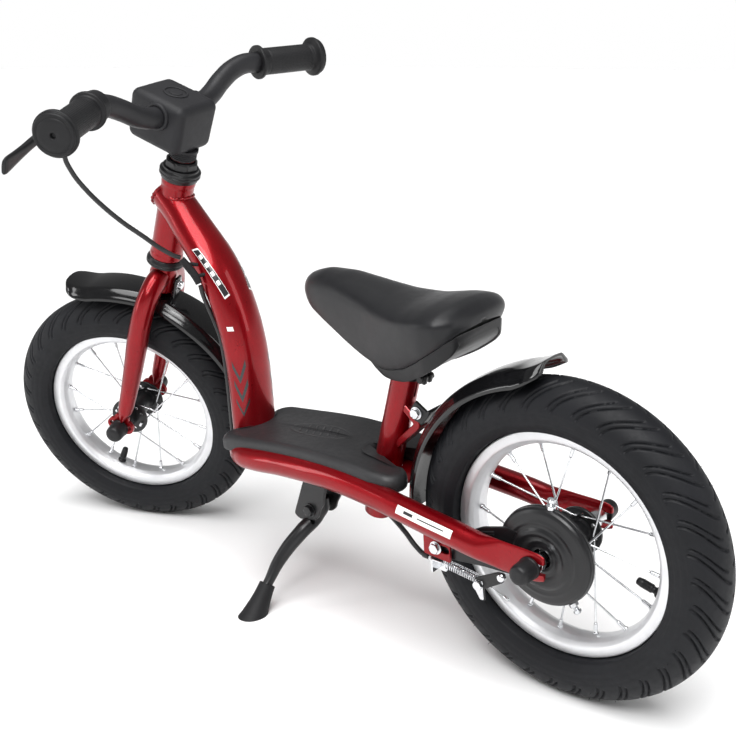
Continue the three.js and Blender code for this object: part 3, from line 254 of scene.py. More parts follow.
def plate(outline, y0, y1, holes=(), bevel=0.5, corner=0.0, axes="xz"):
    """A flat plate: outline in two axes, thick along the third, with bevelled edges."""
    if corner:
        outline = fillet(outline, corner, True, 4)
    loops = [np.array(outline, float)] + [np.array(h, float) for h in holes]
    V, F = [], []
    tops, bottoms = [], []
    base = 0
    for li, L in enumerate(loops):
        area = 0.5 * np.sum(L[:, 0] * np.roll(L[:, 1], -1) - np.roll(L[:, 0], -1) * L[:, 1])
        if area < 0:
            L = L[::-1]
        e = np.roll(L, -1, 0) - L
        e /= np.linalg.norm(e, axis=1)[:, None] + 1e-9
        nrm = np.stack([e[:, 1], -e[:, 0]], 1)
        vn = nrm + np.roll(nrm, 1, 0)
        vn /= np.linalg.norm(vn, axis=1)[:, None] + 1e-9
        inn = L - vn * bevel * (1 if li == 0 else -1)
        rings = [(inn, y0), (L, y0 + bevel), (L, y1 - bevel), (inn, y1)]
        m = len(L)
        for Q, y in rings:
            V += [(q[0], q[1], y) for q in Q]
        for r in range(3):
            F += [(base + r * m + i, base + r * m + (i + 1) % m, base + (r + 1) * m + (i + 1) % m, base + (r + 1) * m + i) for i in range(m)]
        bottoms.append((base, inn))
        tops.append((base + 3 * m, inn))
        base += 4 * m
    for group in (bottoms, tops):
        index = [b + i for b, Q in group for i in range(len(Q))]
        for tri in tessellate_polygon([[Vector((q[0], q[1], 0)) for q in Q] for _, Q in group]):
            F.append(tuple(index[i] for i in tri))
    V = np.array(V, float)
    if axes == "xz":
        V = np.stack([V[:, 0], V[:, 2], V[:, 1]], 1)
    elif axes == "yz":
        V = np.stack([V[:, 2], V[:, 0], V[:, 1]], 1)
    return V, F


def circle(x, y, r, n=28):
    return [(x + r * math.cos(2 * math.pi * i / n), y + r * math.sin(2 * math.pi * i / n)) for i in range(n)]


def long_hole(x, y, r, half, n=12):
    return [(x + half + r * math.cos(a), y + r * math.sin(a)) for a in np.linspace(-math.pi / 2, math.pi / 2, n)] + [
        (x - half + r * math.cos(a), y + r * math.sin(a)) for a in np.linspace(math.pi / 2, 1.5 * math.pi, n)]


def block(size, centre, r=1.0, seg=3):
    bm = bmesh.new()
    bmesh.ops.create_cube(bm, size=1)
    bmesh.ops.scale(bm, vec=size, verts=bm.verts)
    bmesh.ops.bevel(bm, geom=bm.edges[:], offset=r, segments=seg, profile=0.5, affect="EDGES")
    bm.verts.ensure_lookup_table()
    V = np.array([v.co for v in bm.verts]) + np.array(centre)
    F = [tuple(v.index for v in f.verts) for f in bm.faces]
    bm.free()
    return V, F


def put(part, m):
    V, F = part
    return V @ m[:3, :3].T + m[:3, 3], F


def hexagon(p, d, r, h, dome=0.25, washer=0.0):
    """Bolt head or nut, h tall, seated at p and facing along d, with chamfered corners and an optional washer."""
    d = unit(d)
    a = unit(np.cross(d, [0, 0, 1])) if abs(d[2]) < 0.9 else unit(np.cross(d, [1, 0, 0]))
    c = np.cross(d, a)
    p = np.array(p, float)
    rings = []
    n = 48
    for hh, cut_ in ((0, 0.97), (h * 0.06, 1.0), (h * 0.78, 1.0), (h * 0.93, 0.93), (h, 0.86), (h + dome, 0.4), (h + dome, 0.01)):
        ring = []
        for i in range(n):
            f = 2 * math.pi * i / n
            hexr = r * math.cos(math.pi / 6) / math.cos((f % (math.pi / 3)) - math.pi / 6)
            rr = min(hexr, r * cut_) if cut_ < 1 else min(hexr, r * 0.985)
            if cut_ < 0.8:
                rr = r * cut_
            ring.append(p + d * (hh + washer) + rr * (math.cos(f) * a + math.sin(f) * c))
        rings.append(ring)
    parts = [skin(np.array(rings))]
    if washer:
        parts.append(rod(p, p + d * washer, r * 1.22, n=36, edge=0.2))
    return parts


def merged(parts):
    V, F, k = [], [], 0
    for v, f in parts:
        V.append(np.asarray(v, float))
        F += [tuple(i + k for i in q) for q in f]
        k += len(v)
    return np.vstack(V), F


def boolean(a, b, op="DIFFERENCE"):
    obs = []
    for v, f in (a, b):
        me = bpy.data.meshes.new("tmp")
        me.from_pydata((np.asarray(v) * 0.01).tolist(), [], f)
        bm = bmesh.new()
        bm.from_mesh(me)
        bmesh.ops.remove_doubles(bm, verts=bm.verts, dist=1e-5)
        bmesh.ops.recalc_face_normals(bm, faces=bm.faces)
        bm.to_mesh(me)
        bm.free()
        ob = bpy.data.objects.new("tmp", me)
        scene.collection.objects.link(ob)
        obs.append(ob)
    mod = obs[0].modifiers.new("b", "BOOLEAN")
    mod.operation, mod.solver, mod.object = op, "EXACT", obs[1]
    bpy.context.view_layer.update()
    me = bpy.data.meshes.new_from_object(obs[0].evaluated_get(bpy.context.evaluated_depsgraph_get()))
    out = (np.array([v.co for v in me.vertices]) * 100, [tuple(p.vertices) for p in me.polygons])
    for ob in obs:
        bpy.data.objects.remove(ob)
    return out


def piece(name, parts, m, body, mat, stands=(), angle=35, closed=True, bend=None):
    V, F = merged(parts)
    me = bpy.data.meshes.new(name)
    me.from_pydata(V.tolist(), [], F)
    bm = bmesh.new()
    bm.from_mesh(me)
    bmesh.ops.remove_doubles(bm, verts=bm.verts, dist=1e-4)
    bmesh.ops.dissolve_degenerate(bm, dist=1e-5, edges=bm.edges)
    if closed:
        bmesh.ops.recalc_face_normals(bm, faces=bm.faces)
    bm.to_mesh(me)
    bm.free()
    n = len(me.vertices)
    co = np.zeros(n * 3, np.float32)
    me.vertices.foreach_get("co", co)
    at = me.attributes.new("loc", "FLOAT_VECTOR", "POINT")
    at.data.foreach_set("vector", co)
    v = co.reshape(-1, 3).astype(float) @ m[:3, :3].T + m[:3, 3]
    me.vertices.foreach_set("co", v.astype(np.float32).ravel())
    me.polygons.foreach_set("use_smooth", [True] * len(me.polygons))
    me.set_sharp_from_angle(angle=math.radians(angle))
    me.materials.append(mat)
    me.update()
    ob = bpy.data.objects.new(name, me)
    scene.collection.objects.link(ob)
    if bend:  # a cable or spring meant to bend between two bodies: its transform is baked and it is left unattached
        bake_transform(ob)
    else:
        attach(ob, body)
    if stands:
        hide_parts(*stands)
    return ob


# ---------------------------------------------------------------- materials; lengths in shaders are millimetres of the piece
def node_mat(name, color, rough, metal=0.0, spec=0.5, coat=0.0, coat_rough=0.05, tint=0.12, big=0.02, rough_var=0.05, grain=2.0, grain_depth=0.01,
             grain2=0.0, grain2_depth=0.0, voronoi=False, sheen=0.0, extra=None, dark=None, flake=0.0):
    m = bpy.data.materials.new(name)
    m.use_nodes = True
    nt = m.node_tree
    N, L = nt.nodes, nt.links
    bsdf = N["Principled BSDF"]
    bsdf.inputs["Metallic"].default_value = metal
    bsdf.inputs["Specular IOR Level"].default_value = spec
    bsdf.inputs["Coat Weight"].default_value = coat
    bsdf.inputs["Coat Roughness"].default_value = coat_rough
    bsdf.inputs["Sheen Weight"].default_value = sheen
    at = N.new("ShaderNodeAttribute")
    at.attribute_name = "loc"
    co = at.outputs["Vector"]

    def noise(scale, detail=3.0, rough_=0.55):
        x = N.new("ShaderNodeTexNoise")
        x.inputs["Scale"].default_value = scale
        x.inputs["Detail"].default_value = detail
        x.inputs["Roughness"].default_value = rough_
        L.new(co, x.inputs["Vector"])
        return x.outputs["Fac"]

    ramp = N.new("ShaderNodeValToRGB")
    lo, hi = [max(0, c * (1 - tint)) for c in color], [min(1, c * (1 + tint)) for c in color]
    if dark:
        lo = dark
    ramp.color_ramp.elements[0].position, ramp.color_ramp.elements[1].position = 0.3, 0.7
    ramp.color_ramp.elements[0].color, ramp.color_ramp.elements[1].color = (*lo, 1), (*hi, 1)
    L.new(noise(big, 5), ramp.inputs["Fac"])
    base = ramp.outputs["Color"]
    if flake:
        fl = N.new("ShaderNodeTexVoronoi")
        fl.inputs["Scale"].default_value = 3.2
        L.new(co, fl.inputs["Vector"])
        mr = N.new("ShaderNodeMapRange")
        mr.inputs["From Min"].default_value, mr.inputs["From Max"].default_value = 0.0, 1.0
        mr.inputs["To Min"].default_value, mr.inputs["To Max"].default_value = 1 - flake, 1 + flake
        sep = N.new("ShaderNodeSeparateColor")
        L.new(fl.outputs["Color"], sep.inputs["Color"])
        L.new(sep.outputs["Red"], mr.inputs["Value"])
        mul = N.new("ShaderNodeVectorMath")
        mul.operation = "SCALE"
        L.new(base, mul.inputs[0])
        L.new(mr.outputs["Result"], mul.inputs["Scale"])
        base = mul.outputs["Vector"]
    L.new(base, bsdf.inputs["Base Color"])
    rr = N.new("ShaderNodeMapRange")
    rr.inputs["From Min"].default_value, rr.inputs["From Max"].default_value = 0.25, 0.75
    rr.inputs["To Min"].default_value, rr.inputs["To Max"].default_value = max(0.02, rough - rough_var), min(1, rough + rough_var)
    L.new(noise(big * 6, 6, 0.6), rr.inputs["Value"])
    L.new(rr.outputs["Result"], bsdf.inputs["Roughness"])
    height = None
    if grain:
        if voronoi:
            v = N.new("ShaderNodeTexVoronoi")
            v.feature = "DISTANCE_TO_EDGE"
            v.inputs["Scale"].default_value = grain
            L.new(co, v.inputs["Vector"])
            mr = N.new("ShaderNodeMapRange")
            mr.inputs["From Max"].default_value = 0.25
            L.new(v.outputs["Distance"], mr.inputs["Value"])
            height = mr.outputs["Result"]
        else:
            height = noise(grain, 4)
        hm = N.new("ShaderNodeMath")
        hm.operation = "MULTIPLY"
        hm.inputs[1].default_value = grain_depth
        L.new(height, hm.inputs[0])
        height = hm.outputs["Value"]
    if grain2:
        h2 = N.new("ShaderNodeMath")
        h2.operation = "MULTIPLY_ADD"
        h2.inputs[1].default_value = grain2_depth
        L.new(noise(grain2, 2), h2.inputs[0])
        if height is not None:
            L.new(height, h2.inputs[2])
        else:
            h2.inputs[2].default_value = 0
        height = h2.outputs["Value"]
    if extra:
        height = extra(N, L, co, height)
    if height is not None:
        bump = N.new("ShaderNodeBump")
        bump.inputs["Strength"].default_value = 1.0
        bump.inputs["Distance"].default_value = 0.001  # heights above are millimetres
        L.new(height, bump.inputs["Height"])
        L.new(bump.outputs["Normal"], bsdf.inputs["Normal"])
    return m


def add_height(N, L, height, value):
    if height is None:
        return value
    s = N.new("ShaderNodeMath")
    s.operation = "ADD"
    L.new(height, s.inputs[0])
    L.new(value, s.inputs[1])
    return s.outputs["Value"]


def math_node(N, L, op, a, b=None, c=None):
    x = N.new("ShaderNodeMath")
    x.operation = op
    for i, v in enumerate((a, b, c)):
        if v is None:
            continue
        if isinstance(v, (int, float)):
            x.inputs[i].default_value = v
        else:
            L.new(v, x.inputs[i])
    return x.outputs["Value"]


def knurl(axis_point, axis_dir, around, pitch, depth, lo=None, hi=None):
    """Fine moulded grid round an axis, as height for a bump."""
    d = unit(axis_dir)
    a = unit(np.cross(d, [0, 0, 1])) if abs(d[2]) < 0.9 else unit(np.cross(d, [1, 0, 0]))
    c = np.cross(d, a)

    def extra(N, L, co, height):
        sub = N.new("ShaderNodeVectorMath")
        sub.operation = "SUBTRACT"
        L.new(co, sub.inputs[0])
        sub.inputs[1].default_value = tuple(axis_point)
        dots = []
        for v in (a, c, d):
            x = N.new("ShaderNodeVectorMath")
            x.operation = "DOT_PRODUCT"
            L.new(sub.outputs["Vector"], x.inputs[0])
            x.inputs[1].default_value = tuple(v)
            dots.append(x.outputs["Value"])
        ang = math_node(N, L, "ARCTAN2", dots[1], dots[0])
        s1 = math_node(N, L, "SINE", math_node(N, L, "MULTIPLY", ang, float(around)))
        s2 = math_node(N, L, "SINE", math_node(N, L, "MULTIPLY", dots[2], 2 * math.pi / pitch))
        h = math_node(N, L, "MULTIPLY", math_node(N, L, "MAXIMUM", s1, s2), depth)
        if lo is not None:
            inside = math_node(N, L, "MULTIPLY", math_node(N, L, "GREATER_THAN", dots[2], lo), math_node(N, L, "LESS_THAN", dots[2], hi))
            h = math_node(N, L, "MULTIPLY", h, inside)
        return add_height(N, L, height, h)

    return extra


RED = node_mat("red_metallic_paint", (0.25, 0.0006, 0.0045), 0.3, metal=0.65, spec=0.3, coat=0.4, coat_rough=0.04, tint=0.10, big=0.015, rough_var=0.04, grain=0.35, grain_depth=0.012, grain2=0.06, grain2_depth=0.05, flake=0.22)
BLACK_PAINT = node_mat("black_satin_paint", (0.008, 0.008, 0.009), 0.36, metal=0.0, spec=0.35, coat=0.15, coat_rough=0.15, tint=0.2, big=0.05, grain=3.0, grain_depth=0.012)
BAR_PAINT = node_mat("bar_matte_paint", (0.016, 0.016, 0.018), 0.46, metal=0.1, spec=0.35, tint=0.15, big=0.03, grain=4.0, grain_depth=0.015, grain2=0.5, grain2_depth=0.01)
GLOSS = node_mat("black_gloss_plastic", (0.004, 0.004, 0.0045), 0.14, spec=0.4, coat=0.3, coat_rough=0.06, tint=0.25, big=0.02, rough_var=0.05, grain=0.12, grain_depth=0.05, grain2=0.03, grain2_depth=0.12)
PLASTIC = node_mat("black_moulded_plastic", (0.008, 0.008, 0.009), 0.42, spec=0.32, tint=0.18, big=0.06, grain=2.6, grain_depth=0.02, grain2=9.0, grain2_depth=0.005)
SOFT_PLASTIC = node_mat("stem_cover_vinyl", (0.014, 0.014, 0.016), 0.55, spec=0.3, tint=0.15, big=0.03, grain=3.2, grain_depth=0.02, grain2=0.08, grain2_depth=0.12)
RUBBER = node_mat("black_rubber", (0.009, 0.009, 0.010), 0.62, spec=0.28, tint=0.18, big=0.05, grain=1.6, grain_depth=0.03, grain2=6, grain2_depth=0.01)
PAD = node_mat("step_pad_rubber", (0.0080, 0.0083, 0.0098), 0.48, spec=0.3, tint=0.16, big=0.03, grain=1.1, grain_depth=0.05, grain2=4.5, grain2_depth=0.02)
TYRE = node_mat("tyre_rubber", (0.0060, 0.0064, 0.0082), 0.55, spec=0.24, tint=0.16, big=0.03, rough_var=0.09, grain=1.3, grain_depth=0.03, grain2=7, grain2_depth=0.01)
SKIN = node_mat("saddle_skin", (0.0058, 0.0060, 0.0074), 0.38, spec=0.32, tint=0.12, big=0.02, rough_var=0.05, grain=1.15, grain_depth=0.028, voronoi=True, grain2=0.05, grain2_depth=0.25, sheen=0.08)
STEEL = node_mat("bright_steel", (0.72, 0.73, 0.75), 0.2, metal=1.0, tint=0.12, big=0.15, rough_var=0.08, grain=2.0, grain_depth=0.01)
CHROME = node_mat("spoke_steel", (0.70, 0.71, 0.73), 0.22, metal=1.0, tint=0.15, big=0.08, rough_var=0.06, grain=3.0, grain_depth=0.006)
WHITE_VINYL = node_mat("white_vinyl", (0.86, 0.86, 0.84), 0.3, coat=0.5, tint=0.03, big=0.1, grain=1.0, grain_depth=0.01)
BLACK_VINYL = node_mat("black_vinyl", (0.012, 0.012, 0.014), 0.3, coat=0.5, tint=0.1, big=0.1, grain=1.0, grain_depth=0.01)
DARK_RED_VINYL = node_mat("smoke_vinyl", (0.09, 0.006, 0.01), 0.3, coat=0.8, tint=0.1, big=0.1, grain=1.0, grain_depth=0.01)


def ring_lines(N, L, co, height):
    """Turned or brushed lines round the wheel axis."""
    sep = N.new("ShaderNodeSeparateXYZ")
    L.new(co, sep.inputs["Vector"])
    r = math_node(N, L, "SQRT", math_node(N, L, "ADD", math_node(N, L, "MULTIPLY", sep.outputs["X"], sep.outputs["X"]), math_node(N, L, "MULTIPLY", sep.outputs["Z"], sep.outputs["Z"])))
    comb = N.new("ShaderNodeCombineXYZ")
    L.new(r, comb.inputs["X"])
    L.new(sep.outputs["Y"], comb.inputs["Y"])
    x = N.new("ShaderNodeTexNoise")
    x.inputs["Scale"].default_value = 2.2
    x.inputs["Detail"].default_value = 5
    L.new(comb.outputs["Vector"], x.inputs["Vector"])
    return add_height(N, L, height, math_node(N, L, "MULTIPLY", x.outputs["Fac"], 0.03))


ALLOY = node_mat("rim_alloy", (0.78, 0.785, 0.80), 0.45, metal=0.9, tint=0.05, big=0.04, rough_var=0.06, grain=1.5, grain_depth=0.008, extra=ring_lines)
COVER = node_mat("brake_cover_black", (0.008, 0.008, 0.009), 0.32, metal=0.0, spec=0.35, coat=0.12, coat_rough=0.2, tint=0.15, big=0.05, grain=2.4, grain_depth=0.012, extra=ring_lines)


def keep(node, mat, bevel=0.0004):
    """A CAD node whose own shape stays, with softened edges and a procedural finish."""
    ob = frame["nodes"][node]
    n = len(ob.data.vertices)
    co = np.zeros(n * 3, np.float32)
    ob.data.vertices.foreach_get("co", co)
    at = ob.data.attributes.new("loc", "FLOAT_VECTOR", "POINT")
    at.data.foreach_set("vector", co * 1000)
    ob.data.materials.clear()
    ob.data.materials.append(mat)
    w = ob.modifiers.new("weld", "WELD")
    w.merge_threshold = 1e-5
    b = ob.modifiers.new("bevel", "BEVEL")
    b.width, b.segments, b.limit_method, b.angle_limit, b.harden_normals = bevel, 2, "ANGLE", math.radians(35), False
    ob.data.polygons.foreach_set("use_smooth", [True] * len(ob.data.polygons))


# ---------------------------------------------------------------- rails
half = [[-12, 58.5, 0, 11.5, 2.6], [-6, 58.5, 0, 13.5, 2.6], [12, 58.5, 0, 14.6, 2.6], [30, 58.5, 0.5, 14.5, 2.8], [42, 58.3, 1.2, 13.8, 7], [56, 58, 2, 12.6, 11.5], [78, 57.6, 5, 12.5, 12.5],
        [112, 56.5, 8.5, 12.5, 12.5], [150, 54.5, 12.5, 12.5, 12.5], [186, 52.6, 16, 12.5, 12.5], [228, 52, 19, 12.5, 12.5], [270, 52, 19, 12.5, 12.5], [312, 52, 16.5, 12.5, 12.5], [350, 52, 12.5, 12.5, 12.5]]
bend = [[350 + 52 * math.sin(t), 52 * math.cos(t), 12.5 - 5.5 * math.sin(t), 12.5, 12.5] for t in np.radians([15, 30, 45, 60, 75, 90, 105, 120, 135, 150, 165])]
rail_st = [[x, y, z, b, a] for x, y, z, a, b in half + bend + [[h[0], -h[1], *h[2:]] for h in half[::-1]]]
rail = loft(rail_st, (0, 0, 1), 420, 48, end=0.9)
slots = merged([m_ for s in (1, -1) for m_ in (block((26, 14, 10.4), (-11, s * 58.5, 0), 0.2, 1), rod((2, s * 58.5 - 9, 0), (2, s * 58.5 + 9, 0), 5.3, n=40, edge=0))])
for s in (1, -1):
    cut_ = merged([block((26, 14, 10.4), (-11, s * 58.5, 0), 0.2, 1)])
    rail = boolean(rail, cut_)
    rail = boolean(rail, rod((2, s * 58.5 - 9, 0), (2, s * 58.5 + 9, 0), 5.3, n=40, edge=0))
tab = plate([[96, 6], [127, 6], [127, -31], [96, -33]], 46, 49, [long_hole(107, -21, 3.6, 6.5)], 0.5, 2.0)
tab_weld = sweep([[96, 47.5, 0.5], [104, 47.2, -1.5], [112, 47.5, -2.2], [120, 47.2, -1.5], [127, 47.5, -0.5]], [1.2, 1.9, 1.5, 1.9, 1.2], 30, 10)
piece("rail_tubes_fine", [rail, tab, tab_weld], B, "frame", RED, ["rail_tubes"], 32)

# ---------------------------------------------------------------- head tube, down tube, seat tube
head = lathe([(15, 222), (18.6, 222), (18.6, 227), (18, 229), (18, 312), (18.6, 314.5), (18.6, 319.5), (15, 319.5)], (0, 0, 0), (0, 0, 1), 96, True, 0.7)
piece("head_tube_fine", [head], HEAD, "frame", RED, ["head_tube"])
down_path = [[507, 277], [487.5, 258], [468.6, 236.5], [445, 210], [425.5, 179.5], [411.8, 145.3], [404.6, 112.8], [402.3, 75.9], [402.3, 34.4], [402.3, 8]]
wide = [20.5, 21.5, 23.5, 25.5, 27, 27, 27, 27, 27, 27]
down_st = [[x, 0, z, 19, w] for (x, z), w in zip(down_path, wide)]
NU, NV = 150, 96
DR, DP, DT = loft_rings(down_st, (0, 1, 0), NU, NV, 0.0, 2.0)
steer0 = np.array(FOOT)
sax = np.array([-math.sin(HA), 0, math.cos(HA)])


def axis_distance(p):
    q = p - steer0
    return np.linalg.norm(q - (q @ sax)[..., None] * sax, axis=-1)


outside = axis_distance(DR)
seam = []
for k in range(NV):
    i = int(np.argmax(outside[:, k] > 18.1))
    i = max(i, 1)
    t_ = (18.1 - outside[i - 1, k]) / (outside[i, k] - outside[i - 1, k] + 1e-9)
    seam.append(DR[i - 1, k] + (DR[i, k] - DR[i - 1, k]) * min(max(t_, 0), 1))
seam = np.array(seam)
rings = []
for k in range(NV):  # weld bead with its ripples
    p = seam[k]
    t = unit(seam[(k + 1) % NV] - seam[k - 1])
    a = unit(np.cross(t, sax))
    c = np.cross(t, a)
    r = 1.75 + 0.35 * math.sin(k * 2 * math.pi * 20 / NV) + 0.15 * math.sin(k * 1.7)
    f = np.linspace(0, 2 * math.pi, 10, endpoint=False)
    rings.append(p + r * (np.cos(f)[:, None] * a + np.sin(f)[:, None] * c))
bead = skin(np.array(rings), wrap_rings=True)
down = skin(np.concatenate([DR[:-3], DR[-3:]]))
start = int(np.argmax((outside > 14).any(axis=1)))
down = skin(DR[max(start - 1, 0):])
foot_weld = sweep([(402.3 + 19.6 * math.cos(a), 27.6 * math.sin(a), 12 + 7.5 * abs(math.sin(a)) ** 6) for a in np.linspace(0, 2 * math.pi, 41)], 1.7, 160, 10)
piece("down_tube_fine", [down, bead], B, "frame", RED, ["down_tube"])

ST, SB = np.array([174.0, 0, 136.7]), np.array([225.0, 0, -34.0])
SD = unit(ST - SB)


def seat_at(s):
    return ST + SD * s


L_seat = np.linalg.norm(ST - SB)
seat_tube = tube(seat_at(-L_seat), seat_at(0), 14.3, 13.0, 96, 0.3)
seat_tube = boolean(seat_tube, block((24, 3, 34), (164, 0, 119), 0.3, 1))
gusset = plate([[178, 98], [181, 92], [165.5, 77.5], [189, 55], [187, 48], [157.5, 75], [157.5, 81]], -9, 9, (), 0.8, 1.5)
collar_weld = [sweep([seat_at(s_) + 14.6 * (math.cos(a) * np.array([0, 1, 0]) + math.sin(a) * np.cross(SD, [0, 1, 0])) for a in np.linspace(0, 2 * math.pi, 31)], 1.4, 120, 8) for s_ in (-135.5,)]
piece("seat_tube_fine", [seat_tube, gusset, *collar_weld], B, "frame", RED, ["seat_tube"])
keep("platform_plate", RED, 0.0006)

# ---------------------------------------------------------------- generic graphics: plain stripes and chevrons of vinyl
GR, _, _ = loft_rings(down_st, (0, 1, 0), NU, 360, 0.16, 2.0)


def on_down(u, deg):
    x = u * (NU - 1)
    i = min(int(x), NU - 2)
    y = (deg % 360)
    j = int(y)
    fx, fy = x - i, y - j
    a = GR[i, j % 360] * (1 - fy) + GR[i, (j + 1) % 360] * fy
    b = GR[i + 1, j % 360] * (1 - fy) + GR[i + 1, (j + 1) % 360] * fy
    return a * (1 - fx) + b * fx


def decal(corners, nu=26, nv=10, lift=0.0):
    """A sheet between four corners given as (share of the tube's length, degrees round it)."""
    c = [np.array(q, float) for q in corners]
    V = []
    for i in range(nu + 1):
        for j in range(nv + 1):
            s, t = i / nu, j / nv
            q = (c[0] * (1 - s) + c[1] * s) * (1 - t) + (c[3] * (1 - s) + c[2] * s) * t
            p = on_down(*q)
            if lift:
                centre = DP[min(int(q[0] * (NU - 1)), NU - 1)]
                p = p + unit(p - centre) * lift
            V.append(p)
    F = [(i * (nv + 1) + j, (i + 1) * (nv + 1) + j, (i + 1) * (nv + 1) + j + 1, i * (nv + 1) + j + 1) for i in range(nu) for j in range(nv)]
    return np.array(V), F


for s_, side_name in ((1, "left"), (-1, "right")):
    def q(u, deg, s_=s_):
        return (u, deg if s_ > 0 else 180 - deg)
    white = [decal([q(0.268, 17), q(0.470, 43), q(0.463, 59), q(0.275, 36)]), decal([q(0.56, 22), q(0.575, 22), q(0.580, 40), q(0.565, 40)], 6, 5)]
    black = [decal([q(0.274, 19), q(0.463, 44.2), q(0.457, 57.6), q(0.281, 34.2)], lift=0.07),
             decal([q(0.68, 12), q(0.74, 32), q(0.765, 32), q(0.705, 12)]), decal([q(0.74, 32), q(0.68, 52), q(0.705, 52), q(0.765, 32)]),
             decal([q(0.75, 12), q(0.81, 32), q(0.835, 32), q(0.775, 12)]), decal([q(0.81, 32), q(0.75, 52), q(0.775, 52), q(0.835, 32)]),
             decal([q(0.82, 12), q(0.875, 32), q(0.890, 32), q(0.835, 12)]), decal([q(0.875, 32), q(0.82, 52), q(0.835, 52), q(0.890, 32)])]
    inner = [decal([q(u_, 21 + (u_ - 0.27) * 130), q(u_ + 0.016, 23 + (u_ - 0.27) * 130), q(u_ + 0.014, 33 + (u_ - 0.27) * 124), q(u_ - 0.002, 31 + (u_ - 0.27) * 124)], 5, 8, lift=0.14) for u_ in (0.30, 0.335, 0.37, 0.405)]
    piece("down_tube_label_" + side_name, white + inner, B, "frame", WHITE_VINYL, closed=False)
    piece("down_tube_stripes_" + side_name, black, B, "frame", BLACK_VINYL, closed=False)
# white patch on the left stay
RR, RP, RT = loft_rings(rail_st[:14], (0, 0, 1), 200, 360, 0.16)


def rail_patch(u0, u1, d0, d1, nu=30, nv=8, slant=0.0):
    V = []
    for i in range(nu + 1):
        for j in range(nv + 1):
            t = j / nv
            u = u0 + (u1 - u0) * i / nu + slant * t
            x = u * 199
            k = min(int(x), 198)
            dd = int(round((d0 + (d1 - d0) * t))) % 360
            V.append(RR[k, dd] * (1 - (x - k)) + RR[k + 1, dd] * (x - k))
    F = [(i * (nv + 1) + j, (i + 1) * (nv + 1) + j, (i + 1) * (nv + 1) + j + 1, i * (nv + 1) + j + 1) for i in range(nu) for j in range(nv)]
    return np.array(V), F


# ---------------------------------------------------------------- step pad
prof = np.array([[150, 12.5], [186, 16], [228, 19], [270, 19], [312, 16.5], [350, 12.5], [420, 5]], float)


def pad_height(x):
    return pchip(prof[:, 0], prof[:, 1], x)


def pad_outline():
    w, out = 54.5, []

    def corner(cx, cy, r, a0, a1, n):
        for i in range(n + 1):
            a = math.radians(a0 + (a1 - a0) * i / n)
            out.append((cx + r * math.cos(a), cy + r * math.sin(a)))

    corner(388, w - 18, 18, -60, 90, 14)
    for x in np.arange(380, 182, -6.0):
        out.append((x, w))
    corner(178, w - 20, 18, 90, 250, 18)
    out.extend([(184, 19), (196, 17.5), (204, 16.6), (212, 16.4), (218, 15), (223, 11), (225.5, 6), (226, 0)])
    mirrored = [(x, -y) for x, y in out[::-1]][1:]
    return out + mirrored


outline = np.array(pad_outline())
n_o = len(outline)
e = np.roll(outline, -1, 0) - np.roll(outline, 1, 0)
e /= np.linalg.norm(e, axis=1)[:, None]
nrm = np.stack([e[:, 1], -e[:, 0]], 1)
area = 0.5 * np.sum(outline[:, 0] * np.roll(outline[:, 1], -1) - np.roll(outline[:, 0], -1) * outline[:, 1])
if area < 0:
    nrm = -nrm
rings = []
R_EDGE = 8.0
levels = [(3.0, 6.6), (1.2, 5.2), (0.2, 6.4), (0, 9), (0, 12.5)] + [(R_EDGE * (1 - math.cos(a)), 13.5 + R_EDGE * math.sin(a)) for a in np.linspace(0.15, math.pi / 2, 9)]
for inset, h in levels:
    Q = outline - nrm * inset
    rings.append(np.stack([Q[:, 0], Q[:, 1], pad_height(Q[:, 0]) + h - 0.0], 1))
# inner rings run to a slightly dished middle
centre = np.array([300.0, 0.0])
inner0 = outline - nrm * R_EDGE
cy_scale = []
for k in range(1, 15):
    t = k / 15
    Q = inner0.copy()
    spine = np.stack([np.clip(inner0[:, 0], 236, 380), np.zeros(n_o)], 1)
    Q = inner0 + (spine - inner0) * t
    dish = 21.5 + 0.0 - 1.5 * math.sin(min(1, t * 1.6) * math.pi / 2)
    rings.append(np.stack([Q[:, 0], Q[:, 1], pad_height(Q[:, 0]) + dish], 1))
R = np.array(rings)
pv, pf = skin(R, caps=False)
m_ = n_o
last = (len(R) - 1) * m_
pf.append(tuple(last + k for k in range(m_)))
pf.append(tuple(range(m_))[::-1])


def pad_relief(N, L, co, height):
    """Moulded oval frame with slanted bars inside it, raised on the deck."""
    sep = N.new("ShaderNodeSeparateXYZ")
    L.new(co, sep.inputs["Vector"])
    x = math_node(N, L, "DIVIDE", math_node(N, L, "SUBTRACT", sep.outputs["X"], 300.0), 40.0)
    y = math_node(N, L, "DIVIDE", sep.outputs["Y"], 15.0)
    d = math_node(N, L, "SQRT", math_node(N, L, "ADD", math_node(N, L, "MULTIPLY", x, x), math_node(N, L, "MULTIPLY", y, y)))
    ring = math_node(N, L, "SUBTRACT", 1.0, math_node(N, L, "MULTIPLY", math_node(N, L, "ABSOLUTE", math_node(N, L, "SUBTRACT", d, 1.0)), 9.0))
    ring = math_node(N, L, "MAXIMUM", ring, 0.0)
    bars = math_node(N, L, "SINE", math_node(N, L, "MULTIPLY", math_node(N, L, "ADD", sep.outputs["X"], math_node(N, L, "MULTIPLY", sep.outputs["Y"], 0.6)), 0.62))
    bars = math_node(N, L, "MAXIMUM", math_node(N, L, "MULTIPLY", math_node(N, L, "SUBTRACT", bars, 0.35), 2.2), 0.0)
    inside = math_node(N, L, "MINIMUM", math_node(N, L, "MULTIPLY", math_node(N, L, "MAXIMUM", math_node(N, L, "SUBTRACT", 0.82, d), 0.0), 12.0), 1.0)
    h = math_node(N, L, "MULTIPLY", math_node(N, L, "MAXIMUM", ring, math_node(N, L, "MULTIPLY", bars, inside)), 0.55)
    top = math_node(N, L, "GREATER_THAN", sep.outputs["Z"], 24.0)
    return add_height(N, L, height, math_node(N, L, "MULTIPLY", h, top))


